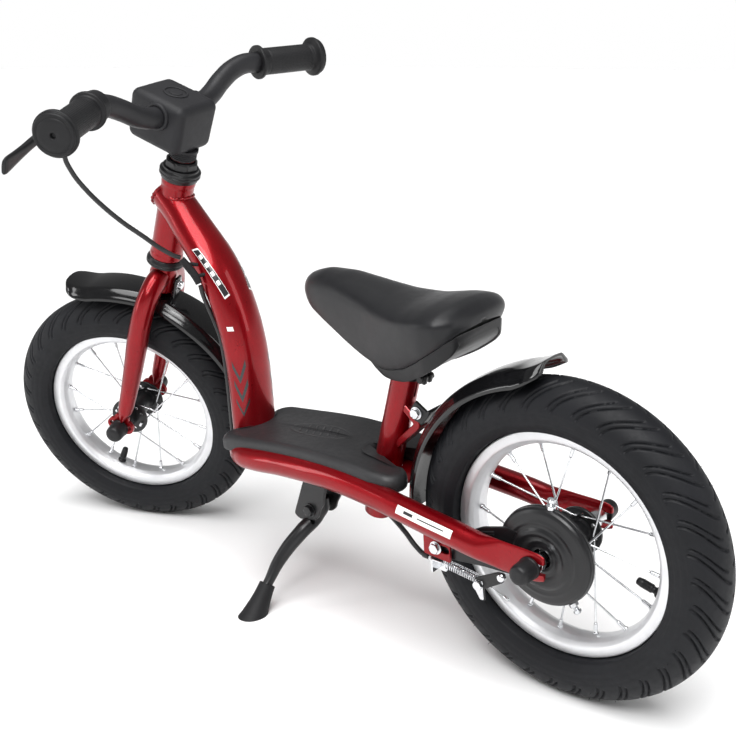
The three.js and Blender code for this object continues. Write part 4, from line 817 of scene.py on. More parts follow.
PAD_TOP = node_mat("step_pad_deck", (0.017, 0.017, 0.0185), 0.5, tint=0.16, big=0.03, rough_var=0.07, grain=1.1, grain_depth=0.05, grain2=4.5, grain2_depth=0.02, extra=pad_relief)
piece("step_pad_fine", [(pv, pf)], B, "frame", PAD_TOP, ["step_pad"], 50)

# ---------------------------------------------------------------- headset and fork
piece("upper_headset_cup_fine", [lathe([(13.2, 320), (20, 320), (20.5, 323.4), (22.4, 324.6), (22.4, 326.6), (21.6, 327.2), (22.4, 327.8), (22.4, 330), (19.5, 331.6), (19.5, 334), (13.2, 334)], d=(0, 0, 1), n=96)], HEAD, "frame", BLACK_PAINT, ["upper_headset_cup"])
piece("lower_headset_cup_fine", [lathe([(13.4, 211.5), (19, 211.5), (21.4, 213.5), (21.4, 215.4), (20.7, 216), (21.4, 216.6), (21.4, 218), (19, 221.6), (13.4, 221.6)], d=(0, 0, 1), n=96)], HEAD, "frame", BLACK_PAINT, ["lower_headset_cup"])
piece("fork_steerer_fine", [lathe([(11.45, 182), (12, 179), (15, 179), (15.6, 181), (15.6, 200), (14.5, 205), (14.5, 210.5), (12.7, 211), (12.7, 340), (11.45, 340)], d=(0, 0, 1), n=80),
                            *[lathe([(12.6, 343 + 0), (13.0, 343.4), (12.6, 343.8)], d=(0, 0, 1), n=64, round_=0)]], FORK, "fork", RED, ["fork_steerer"])
nut = []
for z, r in ((334.6, 17.4), (335.2, 18), (339.6, 18), (341, 17.2), (342.5, 15.4), (342.5, 14.3), (334.6, 14.3)):
    ring = []
    for i in range(96):
        f = 2 * math.pi * i / 96
        hexr = 18 * math.cos(math.pi / 8) / math.cos((f % (math.pi / 4)) - math.pi / 8)
        ring.append((min(r, hexr * 1.0) * math.cos(f), min(r, hexr) * math.sin(f), z))
    nut.append(ring)
piece("headset_locknut_fine", [skin(np.array(nut), wrap_rings=True), lathe([(11.45, 340.2), (12.75, 340.2), (12.75, 344.9), (11.45, 344.9)], d=(0, 0, 1), n=64)], FORK, "fork", BLACK_PAINT, ["headset_locknut"])
for s, side_name in ((1, "left"), (-1, "right")):
    st = [[0, s * 6, 197, 12.5, 12], [0, s * 20, 194, 12.8, 12], [0, s * 34, 183, 12.8, 11.8], [0, s * 43, 162, 12.8, 11.8], [0, s * 46, 132, 12.8, 12.2], [0, s * 46, 96, 12, 11.4],
          [0.6, s * 46, 56, 10.4, 10], [1.6, s * 46, 26, 9.2, 8.6], [2, s * 46, 18, 8.6, 5.5], [2, s * 46, 12, 8.2, 2.6]]
    leg = loft([x for x in st], (1, 0, 0), 140, 48, end=0.5)
    ol = []
    for i in range(72):
        a = i / 72 * 2 * math.pi
        ol.append((4.1 + (12.5 + 4.2 * max(0, math.cos(2 * a)) + 4 * max(0, min(1, (math.sin(a) - 0.7) * 6))) * math.cos(a), 2 + (12.5 + 4.2 * max(0, math.cos(2 * a)) + 4 * max(0, min(1, (math.sin(a) - 0.7) * 6))) * math.sin(a)))
    dropout = plate(ol, s * 46 - 2.6, s * 46 + 2.6, [circle(4.1 - 11.5, 3, 2.4, 20), circle(4.1 + 11.5, 3, 2.4, 20)], 0.5)
    dropout = boolean(dropout, block((10.6, 14, 22), (4.1, s * 46, -11), 0.2, 1))
    dropout = boolean(dropout, rod((4.1, s * 46 - 8, 0), (4.1, s * 46 + 8, 0), 5.3, n=40, edge=0))
    weld = sweep([(15.9 * math.cos(a), s * (11.5 + 0.0 + 3.6 * abs(math.cos(a)) ** 2 * 0) + 0, 196 + 11.8 * math.sin(a)) for a in np.linspace(0, 2 * math.pi, 25)], 1.5, 90, 8)
    piece("fork_leg_%s_fine" % side_name, [leg, dropout], FORK, "fork", RED, ["fork_leg_" + side_name], 32)


# ---------------------------------------------------------------- tyres
def tyre(phase):
    nu, c, rs = 1440, 125.0, 28.5
    a = np.concatenate([np.linspace(-123, -80, 18, endpoint=False), np.linspace(-80, 80, 73), np.linspace(80, 123, 19)[1:]])
    th = np.linspace(0, 2 * math.pi, nu, endpoint=False)
    A, T = np.meshgrid(np.radians(a), th, indexing="xy")
    s = np.abs(A) / math.radians(80)
    sc_ = np.clip(s, 0, 1)
    sweepback = 0.12 * sc_ + 0.88 * sc_**2 * (3 - 2 * sc_)
    N = 34
    ph = N * T / (2 * math.pi) + phase + np.sign(A + 1e-9) * 0.25 + sweepback * 1.25

    def groove(p, w):
        f = np.abs((p + 0.5) % 1 - 0.5)
        return np.clip((1 - f / w) * 2.0, 0, 1)

    win1 = np.clip((s - 0.03) / 0.04, 0, 1) * np.clip((1.0 - s) / 0.05, 0, 1)
    win2 = np.clip((s - 0.14) / 0.05, 0, 1) * np.clip((0.93 - s) / 0.05, 0, 1)
    win3 = np.clip((0.42 - s) / 0.05, 0, 1)
    depth = 1.7 * groove(ph, 0.058) * win1 + 1.6 * groove(ph + 0.34 - 0.12 * s, 0.05) * win2
    depth = np.minimum(depth, 1.8)
    # moulding lines on the shoulder and the sidewall
    ad = np.degrees(np.abs(A))
    line = 0.55 * np.exp(-((ad - 84) / 1.0) ** 2) + 0.35 * np.exp(-((ad - 97) / 0.9) ** 2) - 0.0
    rib = -0.45 * np.exp(-((ad - 105) / 1.6) ** 2) - 0.35 * np.exp(-((ad - 112) / 1.2) ** 2)
    scallop = 0.25 * np.clip(np.sin(2 * math.pi * (N * T / (2 * math.pi) + phase + 1.3)), 0, 1) * np.exp(-((ad - 90) / 3.2) ** 2)
    rr = rs - depth - line - rib * 1.0 - scallop
    flat = 0.0
    Rr = c + rr * np.cos(A) - flat
    Yy = rr * np.sin(A)
    P = np.stack([Rr * np.cos(T), Yy, Rr * np.sin(T)], -1)
    bead = [(109.2, 15.9), (109.0, 12.9), (104, 11.8), (103.4, 10.8), (110.5, 10.8), (128, 21.5), (145, 0), (128, -21.5), (110.5, -10.8), (103.4, -10.8), (104, -11.8), (109.0, -12.9), (109.2, -15.9)]
    extra = np.array([[[r * math.cos(t), y, r * math.sin(t)] for r, y in bead] for t in th])
    P = np.concatenate([P, extra], axis=1)
    return skin(P, wrap_rings=True)


def hairs(seed, n=70):
    """Short moulding hairs left on the tread and the shoulder."""
    rng = np.random.default_rng(seed)
    out = []
    for _ in range(n):
        t, a = rng.uniform(0, 2 * math.pi), math.radians(rng.choice([-62, -38, 38, 62, 74, -74]) + rng.normal(0, 2))
        r = 28.3
        p = np.array([(125 + r * math.cos(a)) * math.cos(t), r * math.sin(a), (125 + r * math.cos(a)) * math.sin(t)])
        nrm_ = unit([math.cos(a) * math.cos(t), math.sin(a), math.cos(a) * math.sin(t)])
        L_ = rng.uniform(1.0, 2.4) if abs(math.degrees(a)) > 30 else 1.0
        tip = p + (nrm_ + rng.normal(0, 0.25, 3)) * L_
        if np.hypot(tip[0], tip[2]) > 153.4:
            continue
        out.append(sweep([p, (p + tip) / 2 + rng.normal(0, 0.1, 3), tip], [0.28, 0.22, 0.12], 4, 5))
    return out


piece("rear_tyre_fine", [tyre(0.0)], B, "rear_wheel", TYRE, ["rear_tyre"], 60)
piece("front_tyre_fine", [tyre(0.3)], FWHEEL, "front_wheel", TYRE, ["front_tyre"], 60)
piece("rear_tyre_hairs", hairs(3), B, "rear_wheel", TYRE)
piece("front_tyre_hairs", hairs(8), FWHEEL, "front_wheel", TYRE)

# ---------------------------------------------------------------- rims, hubs, spokes, valves
rim_prof = [(93, -5.5), (92.6, 0), (93, 5.5), (95.2, 10.8), (98.6, 14.6), (101, 15), (107.2, 15), (108, 14.6), (108, 13.6), (107.2, 13.2), (103, 12.6), (101, 11.4), (98.6, 9.6), (97.6, 4), (97.6, -4), (98.6, -9.6), (101, -11.4), (103, -12.6), (107.2, -13.2), (108, -13.6), (108, -14.6), (107.2, -15), (101, -15), (98.6, -14.6), (95.2, -10.8)]
for nm, m, body in (("rear", B, "rear_wheel"), ("front", FWHEEL, "front_wheel")):
    piece(nm + "_rim_fine", [lathe(rim_prof, n=288, round_=0.6, k=2)], m, body, ALLOY, [nm + "_rim"], 40)


def hub(flange, endy):
    parts = [lathe([(6, -endy), (9.5, -endy), (9.5, -endy + 2), (10.2, -endy + 3), (10.5, -flange - 1.2), (12, -flange), (12, flange), (10.5, flange + 1.2), (10.2, endy - 3), (9.5, endy - 2), (9.5, endy), (6, endy)], n=64, round_=0.4)]
    parts.append(lathe([(10.9, -flange + 1), (13.5, -flange + 1.2), (11.6, -flange + 5), (11, -flange + 9), (11, flange - 9), (11.6, flange - 5), (13.5, flange - 1.2), (10.9, flange - 1)], n=64, round_=0.6))
    for s in (-1, 1):
        holes = [circle(17 * math.cos(a), 17 * math.sin(a), 1.7, 14) for a in np.linspace(0, 2 * math.pi, 8, endpoint=False) + 0.2]
        parts.append(plate(circle(0, 0, 23, 80), s * flange - 1.5, s * flange + 1.5, [circle(0, 0, 9, 40), *holes], 0.5))
    return parts


piece("rear_hub_fine", hub(21, 27.6), B, "rear_wheel", BLACK_PAINT, ["rear_hub"])
piece("front_hub_fine", hub(22, 36), FWHEEL, "front_wheel", BLACK_PAINT, ["front_hub"])


def spokes(flange, seed):
    out = []
    for side in (-1, 1):
        for i in range(8):
            rim_deg = (i * 2 + (0 if side > 0 else 1)) * 22.5 + seed
            hub_deg = rim_deg + side * (60 if i % 2 else -60)
            a_, b_ = math.radians(hub_deg), math.radians(rim_deg)
            y0 = side * (flange - (3.3 if i % 2 else 5.9))
            a = np.array([17 * math.cos(a_), y0, 17 * math.sin(a_)])
            b = np.array([91.9 * math.cos(b_), side * 1.5, 91.9 * math.sin(b_)])
            d = unit(b - a)
            L_ = np.linalg.norm(b - a)
            # bent head through the flange hole
            out.append(sweep([a + np.array([0, side * 7.2, 0]), a + np.array([0, side * 3.0, 0]), a + np.array([0, side * 0.8, 0]) + d * 0.3, a + d * 2.5, a + d * 8], 1.0, 22, 12))
            out.append(rod(a + np.array([0, side * 6.6, 0]), a + np.array([0, side * 7.8, 0]), 2.0, 1.5, 16, 0.3))
            out.append(rod(a + d * 7.5, a + d * (L_ - 8), 0.95, n=12, edge=0))
            out.append(lathe([(0, 0), (0.9, 0), (1.55, 0.8), (1.8, 1.5), (1.8, 8.6), (2.5, 9.4), (2.7, 10.4), (0, 10.4)], a + d * (L_ - 10.0), d, 14, False, 0.15, 2))
    return out


piece("rear_spokes_fine", spokes(21, 4.5), B, "rear_wheel", CHROME, ["rear_spokes"])
piece("front_spokes_fine", spokes(22, 17.6 - 23.05), FWHEEL, "front_wheel", CHROME, ["front_spokes"])
for nm, m, body, deg in (("rear", B, "rear_wheel", 195), ("front", FWHEEL, "front_wheel", -61 - 23.05)):
    a = math.radians(deg)
    d = (-math.cos(a), 0, -math.sin(a))
    p = (92.3 * math.cos(a), 0, 92.3 * math.sin(a))
    ribs = [(3.9, 6.4), (4.1, 6.6)] + [x for z in np.arange(7.2, 14.0, 1.1) for x in ((4.1, z), (3.75, z + 0.35), (3.75, z + 0.6), (4.1, z + 0.95))]
    piece(nm + "_valve_fine", [lathe([(0, 0), (5.2, 0), (5.0, 1.2), (3.3, 2.6), (3.0, 3), (3.0, 8), (0, 8)], p, d, 32, False, 0.3),
                               lathe([(0, 5.2), (3.6, 5.2), (3.9, 5.8), *ribs, (3.7, 17.5), (3.3, 20.0), (2.4, 20.8), (0, 20.8)], p, d, 40, False, 0.1, 1)], m, body, PLASTIC, [nm + "_valve"])

# ---------------------------------------------------------------- axles and their caps


def thread(y0, y1, r=4.8, pitch=1.25):
    P = [(0, y0)]
    y = y0
    while y < y1 - pitch:
        P += [(r - 0.5, y), (r, y + pitch * 0.5)]
        y += pitch
    P += [(r - 0.5, y1), (0, y1)]
    return lathe(P, n=36, closed=False, round_=0)


piece("rear_axle_fine", [thread(-70, -55), rod((0, -56, 0), (0, 56, 0), 4.6, n=32), thread(55, 72), lathe([(4.5, -55), (8.5, -55), (8.5, -28.4), (4.5, -28.4)], n=48), lathe([(4.5, 48.4), (8.5, 48.4), (8.5, 55), (4.5, 55)], n=48)], B, "frame", STEEL, ["rear_axle"])
piece("front_axle_fine", [thread(-57, -43), rod((0, -44, 0), (0, 44, 0), 4.6, n=32), thread(43, 57), *[lathe([(4.5, s * 36.6), (8.5, s * 36.6), (8.5, s * 43), (4.5, s * 43)], n=48) for s in (1, -1)]], FWHEEL, "fork", STEEL, ["front_axle"])


def cap(s, y0, y1, r):
    L_ = y1 - y0
    P = [(5.2, 0), (r * 1.03, 0), (r * 1.08, 0.8), (r * 1.08, 2.6), (r * 1.02, 3.4), (r * 1.0, L_ * 0.55), (r * 0.985, L_ - 6), (r * 0.93, L_ - 3), (r * 0.8, L_ - 1.2), (r * 0.55, L_ - 0.3), (0, L_), (0, L_ - 4.5), (5.2, L_ - 6)]
    return lathe([(a, s * (y0 + b)) for a, b in P], n=64, round_=0.6)


piece("rear_axle_cap_left_fine", [cap(1, 61.5, 82.5, 9.8)], B, "frame", PLASTIC, ["rear_axle_cap_left"])
piece("rear_axle_cap_right_fine", [cap(-1, 61.5, 79, 9.5)], B, "frame", PLASTIC, ["rear_axle_cap_right"])
piece("front_axle_cap_left_fine", [cap(1, 49, 69, 10.4)], FWHEEL, "fork", PLASTIC, ["front_axle_cap_left"])
piece("front_axle_cap_right_fine", [cap(-1, 49, 69, 10.4)], FWHEEL, "fork", PLASTIC, ["front_axle_cap_right"])


# ---------------------------------------------------------------- mudguards
def guard(Rg, w, drop, lift, a0, a1, tip_start, narrow=0.0, nu=220, nv=44):
    rings = []
    total = Rg * math.radians(abs(a1 - a0))
    corner, corner2 = 13.0, 6.0
    # stations crowded towards both ends, so that their rounded corners stay smooth
    st = np.unique(np.concatenate([np.linspace(0, 1, nu), np.linspace(0, 0.06, 26), np.linspace(0.94, 1, 26)]))
    for t in st:
        ang = math.radians(a0 + (a1 - a0) * t)
        e_ = t if tip_start else 1 - t
        e_mm, o_mm = e_ * total, (1 - e_) * total
        k = max(0.0, 1 - e_ / 0.11)
        waist = 1 - narrow * math.exp(-(((t - 0.41) / 0.14) ** 2))
        width = w * waist * (1 - 0.05 * k * k)
        if e_mm < corner:
            width -= corner - math.sqrt(max(0.0, corner**2 - (corner - e_mm) ** 2))
        if o_mm < corner2:
            width -= corner2 - math.sqrt(max(0.0, corner2**2 - (corner2 - o_mm) ** 2))
        top, bottom = [], []
        for j in range(nv + 1):
            v = -1 + 2 * j / nv
            av = abs(v)
            # nearly flat crown, rolled shoulders and a narrow flange at the lip
            h = -drop * (0.30 * av**2.2 + 0.70 * max(0, (av - 0.62) / 0.38) ** 1.5)
            h += 1.0 * math.exp(-((av - 0.97) / 0.04) ** 2)
            r = Rg + h * (1 - 0.25 * k) + lift * k * k
            top.append((r + 1.1, v * width))
            bottom.append((r - 1.1, v * width * 0.985))
        ring = top + bottom[::-1]
        rings.append([(rr * math.cos(ang), yy, rr * math.sin(ang)) for rr, yy in ring])
    return skin(np.array(rings))


piece("rear_mudguard_fine", [guard(164.8, 33.5, 14, 6, -3, 85.3, False)], B, "frame", GLOSS, ["rear_mudguard"], 50)
hanger = plate([(-8, 172), (8, 172), (8, 197), (5, 200), (-5, 200), (-8, 197)], -24.4, -21.4, [circle(0, 190, 3, 20)], 0.4, axes="yz")
piece("front_mudguard_fine", [guard(173.5, 31.5, 13, 10, 54, 145, True, 0.13), hanger], FWHEEL, "fork", GLOSS, ["front_mudguard"], 50)
keep("rear_mudguard_bracket", BLACK_PAINT)
piece("rear_mudguard_bolt_fine", [*hexagon((157, 13.3, 92.5), (0, 1, 0), 5.2, 3.6, washer=0.9), rod((157, 6.7, 92.5), (157, 14, 92.5), 2.5, n=20), *hexagon((157, 9.7, 92.5), (0, -1, 0), 4.8, 4.0)], B, "frame", STEEL, ["rear_mudguard_bolt"])
piece("front_mudguard_bolt_fine", [*hexagon((-24.7, 0, 190), (-1, 0, 0), 5.3, 3.6, washer=0.9), rod((-25.5, 0, 190), (-20.6, 0, 190), 2.6, n=20)], FWHEEL, "fork", STEEL, ["front_mudguard_bolt"])

# ---------------------------------------------------------------- band brake
piece("brake_drum_fine", [lathe([(9.9, 28.2), (36, 28.2), (36, 38.5), (33.5, 38.5), (33.5, 31), (9.9, 31)], n=96)], B, "rear_wheel", STEEL, ["brake_drum"])
cov = [(9.2, 41), (9.2, 43.6), (12, 44.4), (14.4, 43.6), (17, 44), (19.5, 45.2), (22, 46.2), (24.6, 46.6), (27, 46.0), (29.6, 44.2), (32, 43.9), (34.4, 44.3), (37, 43.4), (39.6, 42.9), (42, 42.4), (44.6, 41.2), (46.2, 39.4),
       (46.5, 37.4), (46.5, 36.0), (47.0, 35.4), (47.0, 34.4), (46.5, 33.8), (46.5, 32), (44.5, 32), (44.5, 38), (42, 40), (28, 42), (13, 41)]
arm = plate([[20, 19], [34, 21], [62, 13], [98, -8], [119, -17], [122.4, -22], [120, -30], [98, -31.5], [60, -27], [20, -25]], 41.3, 44.4, [circle(112, -21, 3.4, 20), circle(0, 0, 0.01, 6)][:1], 0.6, 3.0)
arm = boolean(arm, rod((0, 38, 0), (0, 50, 0), 30.5, n=80, edge=0))
arm_rib = plate([[48, 13], [64, 8.6], [97, -11], [99, -13.6], [64, 5.4], [48, 9.6]], 43.9, 45.6, (), 0.5, 1.0)
piece("brake_cover_fine", [lathe(cov, n=160, round_=0.5, k=3), arm, arm_rib], B, "frame", COVER, ["brake_cover"], 40)
piece("brake_anchor_bolt_fine", [*hexagon((112, 49.2, -21), (0, 1, 0), 5.4, 3.6, washer=0.9), rod((112, 40, -21), (112, 50, -21), 2.9, n=24)], B, "frame", STEEL, ["brake_anchor_bolt"])
stop_outline = [(108.5, -36.5), (121.5, -36.5), (121.5, -49), (119, -52.5), (111, -52.5), (108.5, -49)]
piece("cable_stop_fine", [plate(stop_outline, 34.5, 36.8, (), 0.5, 1.5), plate([(119.2, -36.5), (121.5, -36.5), (121.5, -51), (119.2, -51)], 34.5, 46.5, (), 0.4), plate([(108.5, -36.5), (121.5, -36.5), (121.5, -38.4), (108.5, -38.4)], 34.5, 46.5, (), 0.4),
                          lathe([(1.8, 0), (4.4, 0), (4.4, 3.4), (3.4, 4.2), (3.4, 5.2), (1.8, 5.2)], (121, 40.5, -40), (1, 0, 0.24), 32), rod((118, 40.5, -40.4), (126, 40.5, -39.2), 2.3, n=20)], B, "frame", STEEL, ["cable_stop"])
for nm, deg in (("top", 96), ("bottom", -125)):
    a = math.radians(deg)
    d = np.array([math.cos(a), 0, math.sin(a)])
    o = np.array([0, 35.5, 0.0])
    piece("brake_adjuster_%s_fine" % nm, [*hexagon(o + d * 46.9, d, 4.5, 3.2), lathe([(0, 0)] + [x for z in np.arange(0, 6.5, 0.9) for x in ((2.1, z), (2.5, z + 0.45))] + [(2.1, 7), (0, 7)], o + d * 50, d, 24, False, 0), *hexagon(o + d * 53.6, d, 3.8, 2.6)], B, "frame", STEEL, ["brake_adjuster_" + nm])
piece("brake_arm_fine", [plate([[36, -26], [44, -26], [70, -40], [71, -50], [64, -62], [59, -61], [60, -49], [38, -35]], 44.9, 47.0, [circle(65, -45.5, 2.9, 18)], 0.5, 2.0)], B, "brake_arm", BLACK_PAINT, ["brake_arm"])
piece("brake_arm_rivet_fine", [lathe([(0, 0), (4.2, 0), (4.2, 3.4), (3.4, 5), (2, 5.6), (0, 5.7)], (40, 44.9, -30), (0, 1, 0), 40, False), plate([[60.6, -41], [69.4, -41], [70.4, -50], [64, -60.6], [60, -60], [60.8, -49]], 46.9, 47.6, [circle(65, -45.5, 2.9, 18)], 0.25, 1.5)], B, "brake_arm", STEEL)
piece("cable_pinch_bolt_fine", [rod((65, 38.5, -45.5), (65, 50, -45.5), 2.5, n=24), *hexagon((65, 47.5, -45.5), (0, 1, 0), 5, 3.6), rod((65, 36, -45.5), (65, 44.5, -45.5), 4.6, n=40),
                                sweep([(72, 40.5, -43.8), (66, 40.5, -45), (60, 40.8, -46.5), (48, 42, -50), (38, 43.5, -52)], 0.6, 30, 8), rod((40.5, 43.1, -51.4), (34.5, 44.1, -52.6), 1.5, n=16)], B, "brake_arm", STEEL, ["cable_pinch_bolt"])
turns, pts = 15, []
for i in range(turns * 16 + 1):
    t = i / (turns * 16)
    a = t * turns * 2 * math.pi
    pts.append((107.8 - t * 36.6, 40.5 + 4.1 * math.cos(a), -40.2 - 4.2 * t + 4.1 * math.sin(a)))
piece("brake_spring_fine", [sweep(pts, 0.55, turns * 20, 8), sweep([(121, 40.5, -39.6), (107.8, 40.5, -40.6), (71.2, 40.5, -44.4)], 0.65, 20, 8)], B, "brake_arm", CHROME, ["brake_spring"], bend=("frame", "brake_arm", (112, 40.5, -40), (71.2, 40.5, -44.4)))

# ---------------------------------------------------------------- cables
lower = [[430.4, 31.6, 186.2], [430.6, 29.6, 176], [431.6, 24.5, 163], [430.6, 19, 146], [426.6, 15.6, 126], [423.8, 15, 100], [422.8, 15, 70], [423, 15, 34], [423, 15, 12], [419, 16, -3], [407, 19, -9.6],
         [385, 25, -9], [350, 32, -6], [300, 36, -3], [250, 36, -2], [210, 36, -5], [180, 36.5, -10], [158, 37.5, -24], [145, 39, -34], [134, 40.4, -38.6], [127, 40.5, -39]]
CABLE = node_mat("cable_housing", (0.010, 0.010, 0.011), 0.38, tint=0.2, big=0.1, grain=0.9, grain_depth=0.03)
piece("brake_cable_lower_fine", [sweep(lower, 2.5, 260, 20), lathe([(2.4, 0), (3.1, 0), (3.1, 7), (2.4, 7.6)], (127.2, 40.5, -39), (1, 0, 0.06), 24)], B, "frame", CABLE, ["brake_cable_lower"])
gp = [[445.5, 40.5, 215.5], [440, 37, 206], [434.4, 34, 197], [431, 32.6, 188.6]]
piece("cable_guide_fine", [sweep(gp, [3.6, 4.2, 4.2, 3.6], 40, 28), sweep([(442, 38, 209), (441, 32, 208.5), (438, 26, 207)], 2.0, 16, 14), sweep([(434, 34, 196), (432.5, 29.5, 196.5), (430, 24.5, 197)], 2.0, 16, 14)], B, "frame", RUBBER, ["cable_guide"])
upper = [[470.5, 117.4, 365.6], [478.5, 124, 359.5], [485.8, 133, 349], [486.5, 137.4, 336.5], [484.5, 133, 320], [480, 122, 300], [472.5, 110, 282], [465, 95, 264], [457.5, 78, 247], [452.5, 58, 228.5], [448.2, 46, 219.6], [446.6, 41.6, 217.4]]
route = smooth_path(upper, 200)[0]
# the upper cable in two halves, from the lever towards the fork and from there to the guide on the frame; both have
# their transforms baked and are left unattached
piece("brake_cable_upper_fine", [sweep(route[:101], 2.5, 100, 20)], B, "handlebar_set", CABLE, ["brake_cable_upper"], bend=("handlebar_set", "fork", route[0], route[100]))
piece("brake_cable_upper_end_fine", [sweep(route[100:], 2.5, 100, 20)], B, "fork", CABLE, bend=("fork", "frame", route[100], route[-1]))

# ---------------------------------------------------------------- side stand
cheek = [[274, -2], [303, -2], [325, -56], [317, -60.5], [304, -57.4], [295, -56.4], [288.5, -51], [286, -43], [280, -34]]
parts = [plate(cheek, y, y + 3, [circle(300, -45, 4.2, 24)], 0.5, 4.0) for y in (22, -5)]
parts += [block((30, 33, 3), (288, 10, -1.2), 0.8, 3), rod((284, 8, -1.5), (284, 8, 16), 9, n=56), sweep([(274.4, 21.6, -1.8), (276.6, 22.2, -13.0), (280.2, 22.6, -31.0)], [0.9, 1.1, 0.9], 24, 10), sweep([(274.4, -1.6, -1.8), (276.6, -2.2, -13.0), (280.2, -2.6, -31.0)], [0.9, 1.1, 0.9], 24, 10)]
piece("kickstand_bracket_fine", parts, B, "frame", BLACK_PAINT, ["kickstand_bracket"])
piece("kickstand_pivot_bolt_fine", [rod((300, -10, -45), (300, 30, -45), 3.7, n=32), *hexagon((300, 25.2, -45), (0, 1, 0), 6.2, 4.0, washer=1.0), *hexagon((300, -5.4, -45), (0, -1, 0), 6.2, 4.4)], B, "frame", BLACK_PAINT, ["kickstand_pivot_bolt"])
kst = [[296.5, 9, -34, 7, 8.5], [300, 10, -45, 10, 11.6], [303.5, 14, -57.5, 9, 8.6], [308.5, 31, -69.5, 8.2, 8.2], [316.5, 48, -86, 7.6, 7.6], [320.5, 62, -101, 6.6, 6.6], [321, 74, -114, 5.5, 5.5], [321.4, 82, -121.5, 5.2, 5.2], [321.8, 88, -128, 5.2, 5.2]]
leg = loft(kst, (1, 0, 0), 110, 36, end=2.0)
for y in (23.5, -3.5):
    leg = boolean(leg, block((80, 3.9, 80), (300, y, -22.0), 0.1, 1))
piece("kickstand_leg_fine", [leg], B, "kickstand", BLACK_PAINT, ["kickstand_leg"], 40)
fp0, fp1 = np.array([321.2, 76.5, -116.5]), np.array([322.5, 103, -151])
fd = unit(fp1 - fp0)
fL = np.linalg.norm(fp1 - fp0)
footp = lathe([(5.6, 1), (8.0, 0), (8.7, 0.8), (8.9, 4), (9.2, 8), (9.9, 14), (11.2, 22), (12.9, 30), (14.6, 37), (16.4, 42), (17, 44.5), (17, fL + 20), (0, fL + 20), (0, 12), (5.6, 12)], fp0, fd, 72, True, 0.8)
up_b = np.linalg.inv(B[:3, :3] * 1000) @ np.array([0, 0, 1.0])
floor_point = np.linalg.inv(B) @ np.array([0.02, 0.06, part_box("kickstand_foot")[0].z, 1.0])
cz, cx_, cy_ = unit(up_b), None, None
cx_ = unit(np.cross([0, 1, 0], cz))
cy_ = np.cross(cz, cx_)
M = np.eye(4)
M[:3, 0], M[:3, 1], M[:3, 2] = cx_, cy_, cz
fc = np.array([322.0, 100, -148.0])
h0 = (floor_point[:3] - fc) @ cz
M[:3, 3] = fc + cz * (h0 - 40)
footp = boolean(footp, put(block((160, 160, 80), (0, 0, 0), 0.01, 1), M))
piece("kickstand_foot_fine", [footp], B, "kickstand", RUBBER, ["kickstand_foot"], 40)

# ---------------------------------------------------------------- saddle
piece("seat_post_fine", [lathe([(0, 0), (12.6, 0), (12.6, 149), (0, 149)], seat_at(-133), SD, 64, False, 0.8)], B, "saddle", STEEL, ["seat_post"])
SM = np.eye(4)
sx = unit(np.cross([0, 1, 0], SD))
SM[:3, 0], SM[:3, 1], SM[:3, 2], SM[:3, 3] = sx, [0, 1, 0], SD, seat_at(-6.2)
collar = lathe([(14.75, -5.5), (17.6, -5.5), (17.6, 5.5), (14.75, 5.5)], d=(0, 0, 1), n=80, round_=0.8)
collar = boolean(collar, block((12, 2.6, 20), (-17, 0, 0), 0.1, 1))
lugs = [block((11, 5.0, 9), (-21, s * 4.0, 0), 1.2, 3) for s in (1, -1)]
bolt = [*hexagon((-22, 6.4, 0), (0, 1, 0), 3.9, 3.0), *hexagon((-22, -6.4, 0), (0, -1, 0), 3.9, 3.0), rod((-22, -9, 0), (-22, 9, 0), 2.3, n=20)]
piece("seat_clamp_fine", [put(p, SM) for p in [collar, *lugs, *bolt]], B, "frame", BLACK_PAINT, ["seat_clamp"])

rows = np.array([
    [85.2, 195.5, 6, 193.2, 5, 191.6], [86, 199, 18, 193.5, 15, 190.6], [89.5, 204, 38, 194, 32, 187.5], [96, 208.5, 48, 194, 41, 181.5], [105, 210.5, 54, 194, 46, 174.5], [118, 210, 55.5, 193, 47.5, 165.5],
    [135, 207.5, 53.5, 191, 43, 154.5], [155, 205, 49, 190, 38, 144.5], [178, 206.5, 42.5, 190, 34, 140], [200, 210.5, 36, 192, 30.5, 144.5], [225, 215, 31, 195, 27, 154],
    [248, 218, 27.5, 197, 23.5, 164.5], [267, 218, 24.5, 197, 20, 173], [282, 215, 20.5, 196, 16.5, 180], [291, 211, 15, 196, 11.5, 184.5], [295.6, 206, 9.4, 196, 7.4, 188.6], [297, 200.5, 3, 196, 2.4, 193]], float)
tt = np.concatenate([[0], np.cumsum(np.linalg.norm(np.diff(rows[:, [0, 1, 2, 5]], axis=0), axis=1))])
qq = np.linspace(0, tt[-1], 170)
dense = np.stack([pchip(tt, rows[:, i], qq) for i in range(6)], 1)
rings = []
for x, crown, w, zw, b, zl in dense:
    half_sec = []
    for t in np.linspace(0, 1, 44):
        if t <= 0.55:
            a = t / 0.55 * math.pi / 2
            # softly squared crown with a shallow dip down the middle
            y = w * math.sin(a) ** 0.96
            z = zw + (crown - zw) * math.cos(a) ** 0.92
        else:
            s = (t - 0.55) / 0.45
            y = w + (b - w) * s**1.5
            z = zw + (zl - zw) * (1 - (1 - s) ** 1.25)
        half_sec.append((y, z))
    half_sec += [(b - 0.4, zl - 0.35), (max(b - 1.6, b * 0.8), zl - 0.2), (max(b - 3.0, b * 0.6), zl + 1.0), (b * 0.5, zl + 2.5)]
    full = half_sec + [(-y, z) for y, z in half_sec[::-1][:-1]]
    rings.append([(x, y, z) for y, z in full])
cover = skin(np.array(rings))
sad = piece("saddle_cover_fine", [cover], B, "saddle", SKIN, ["saddle_cover"], 60)
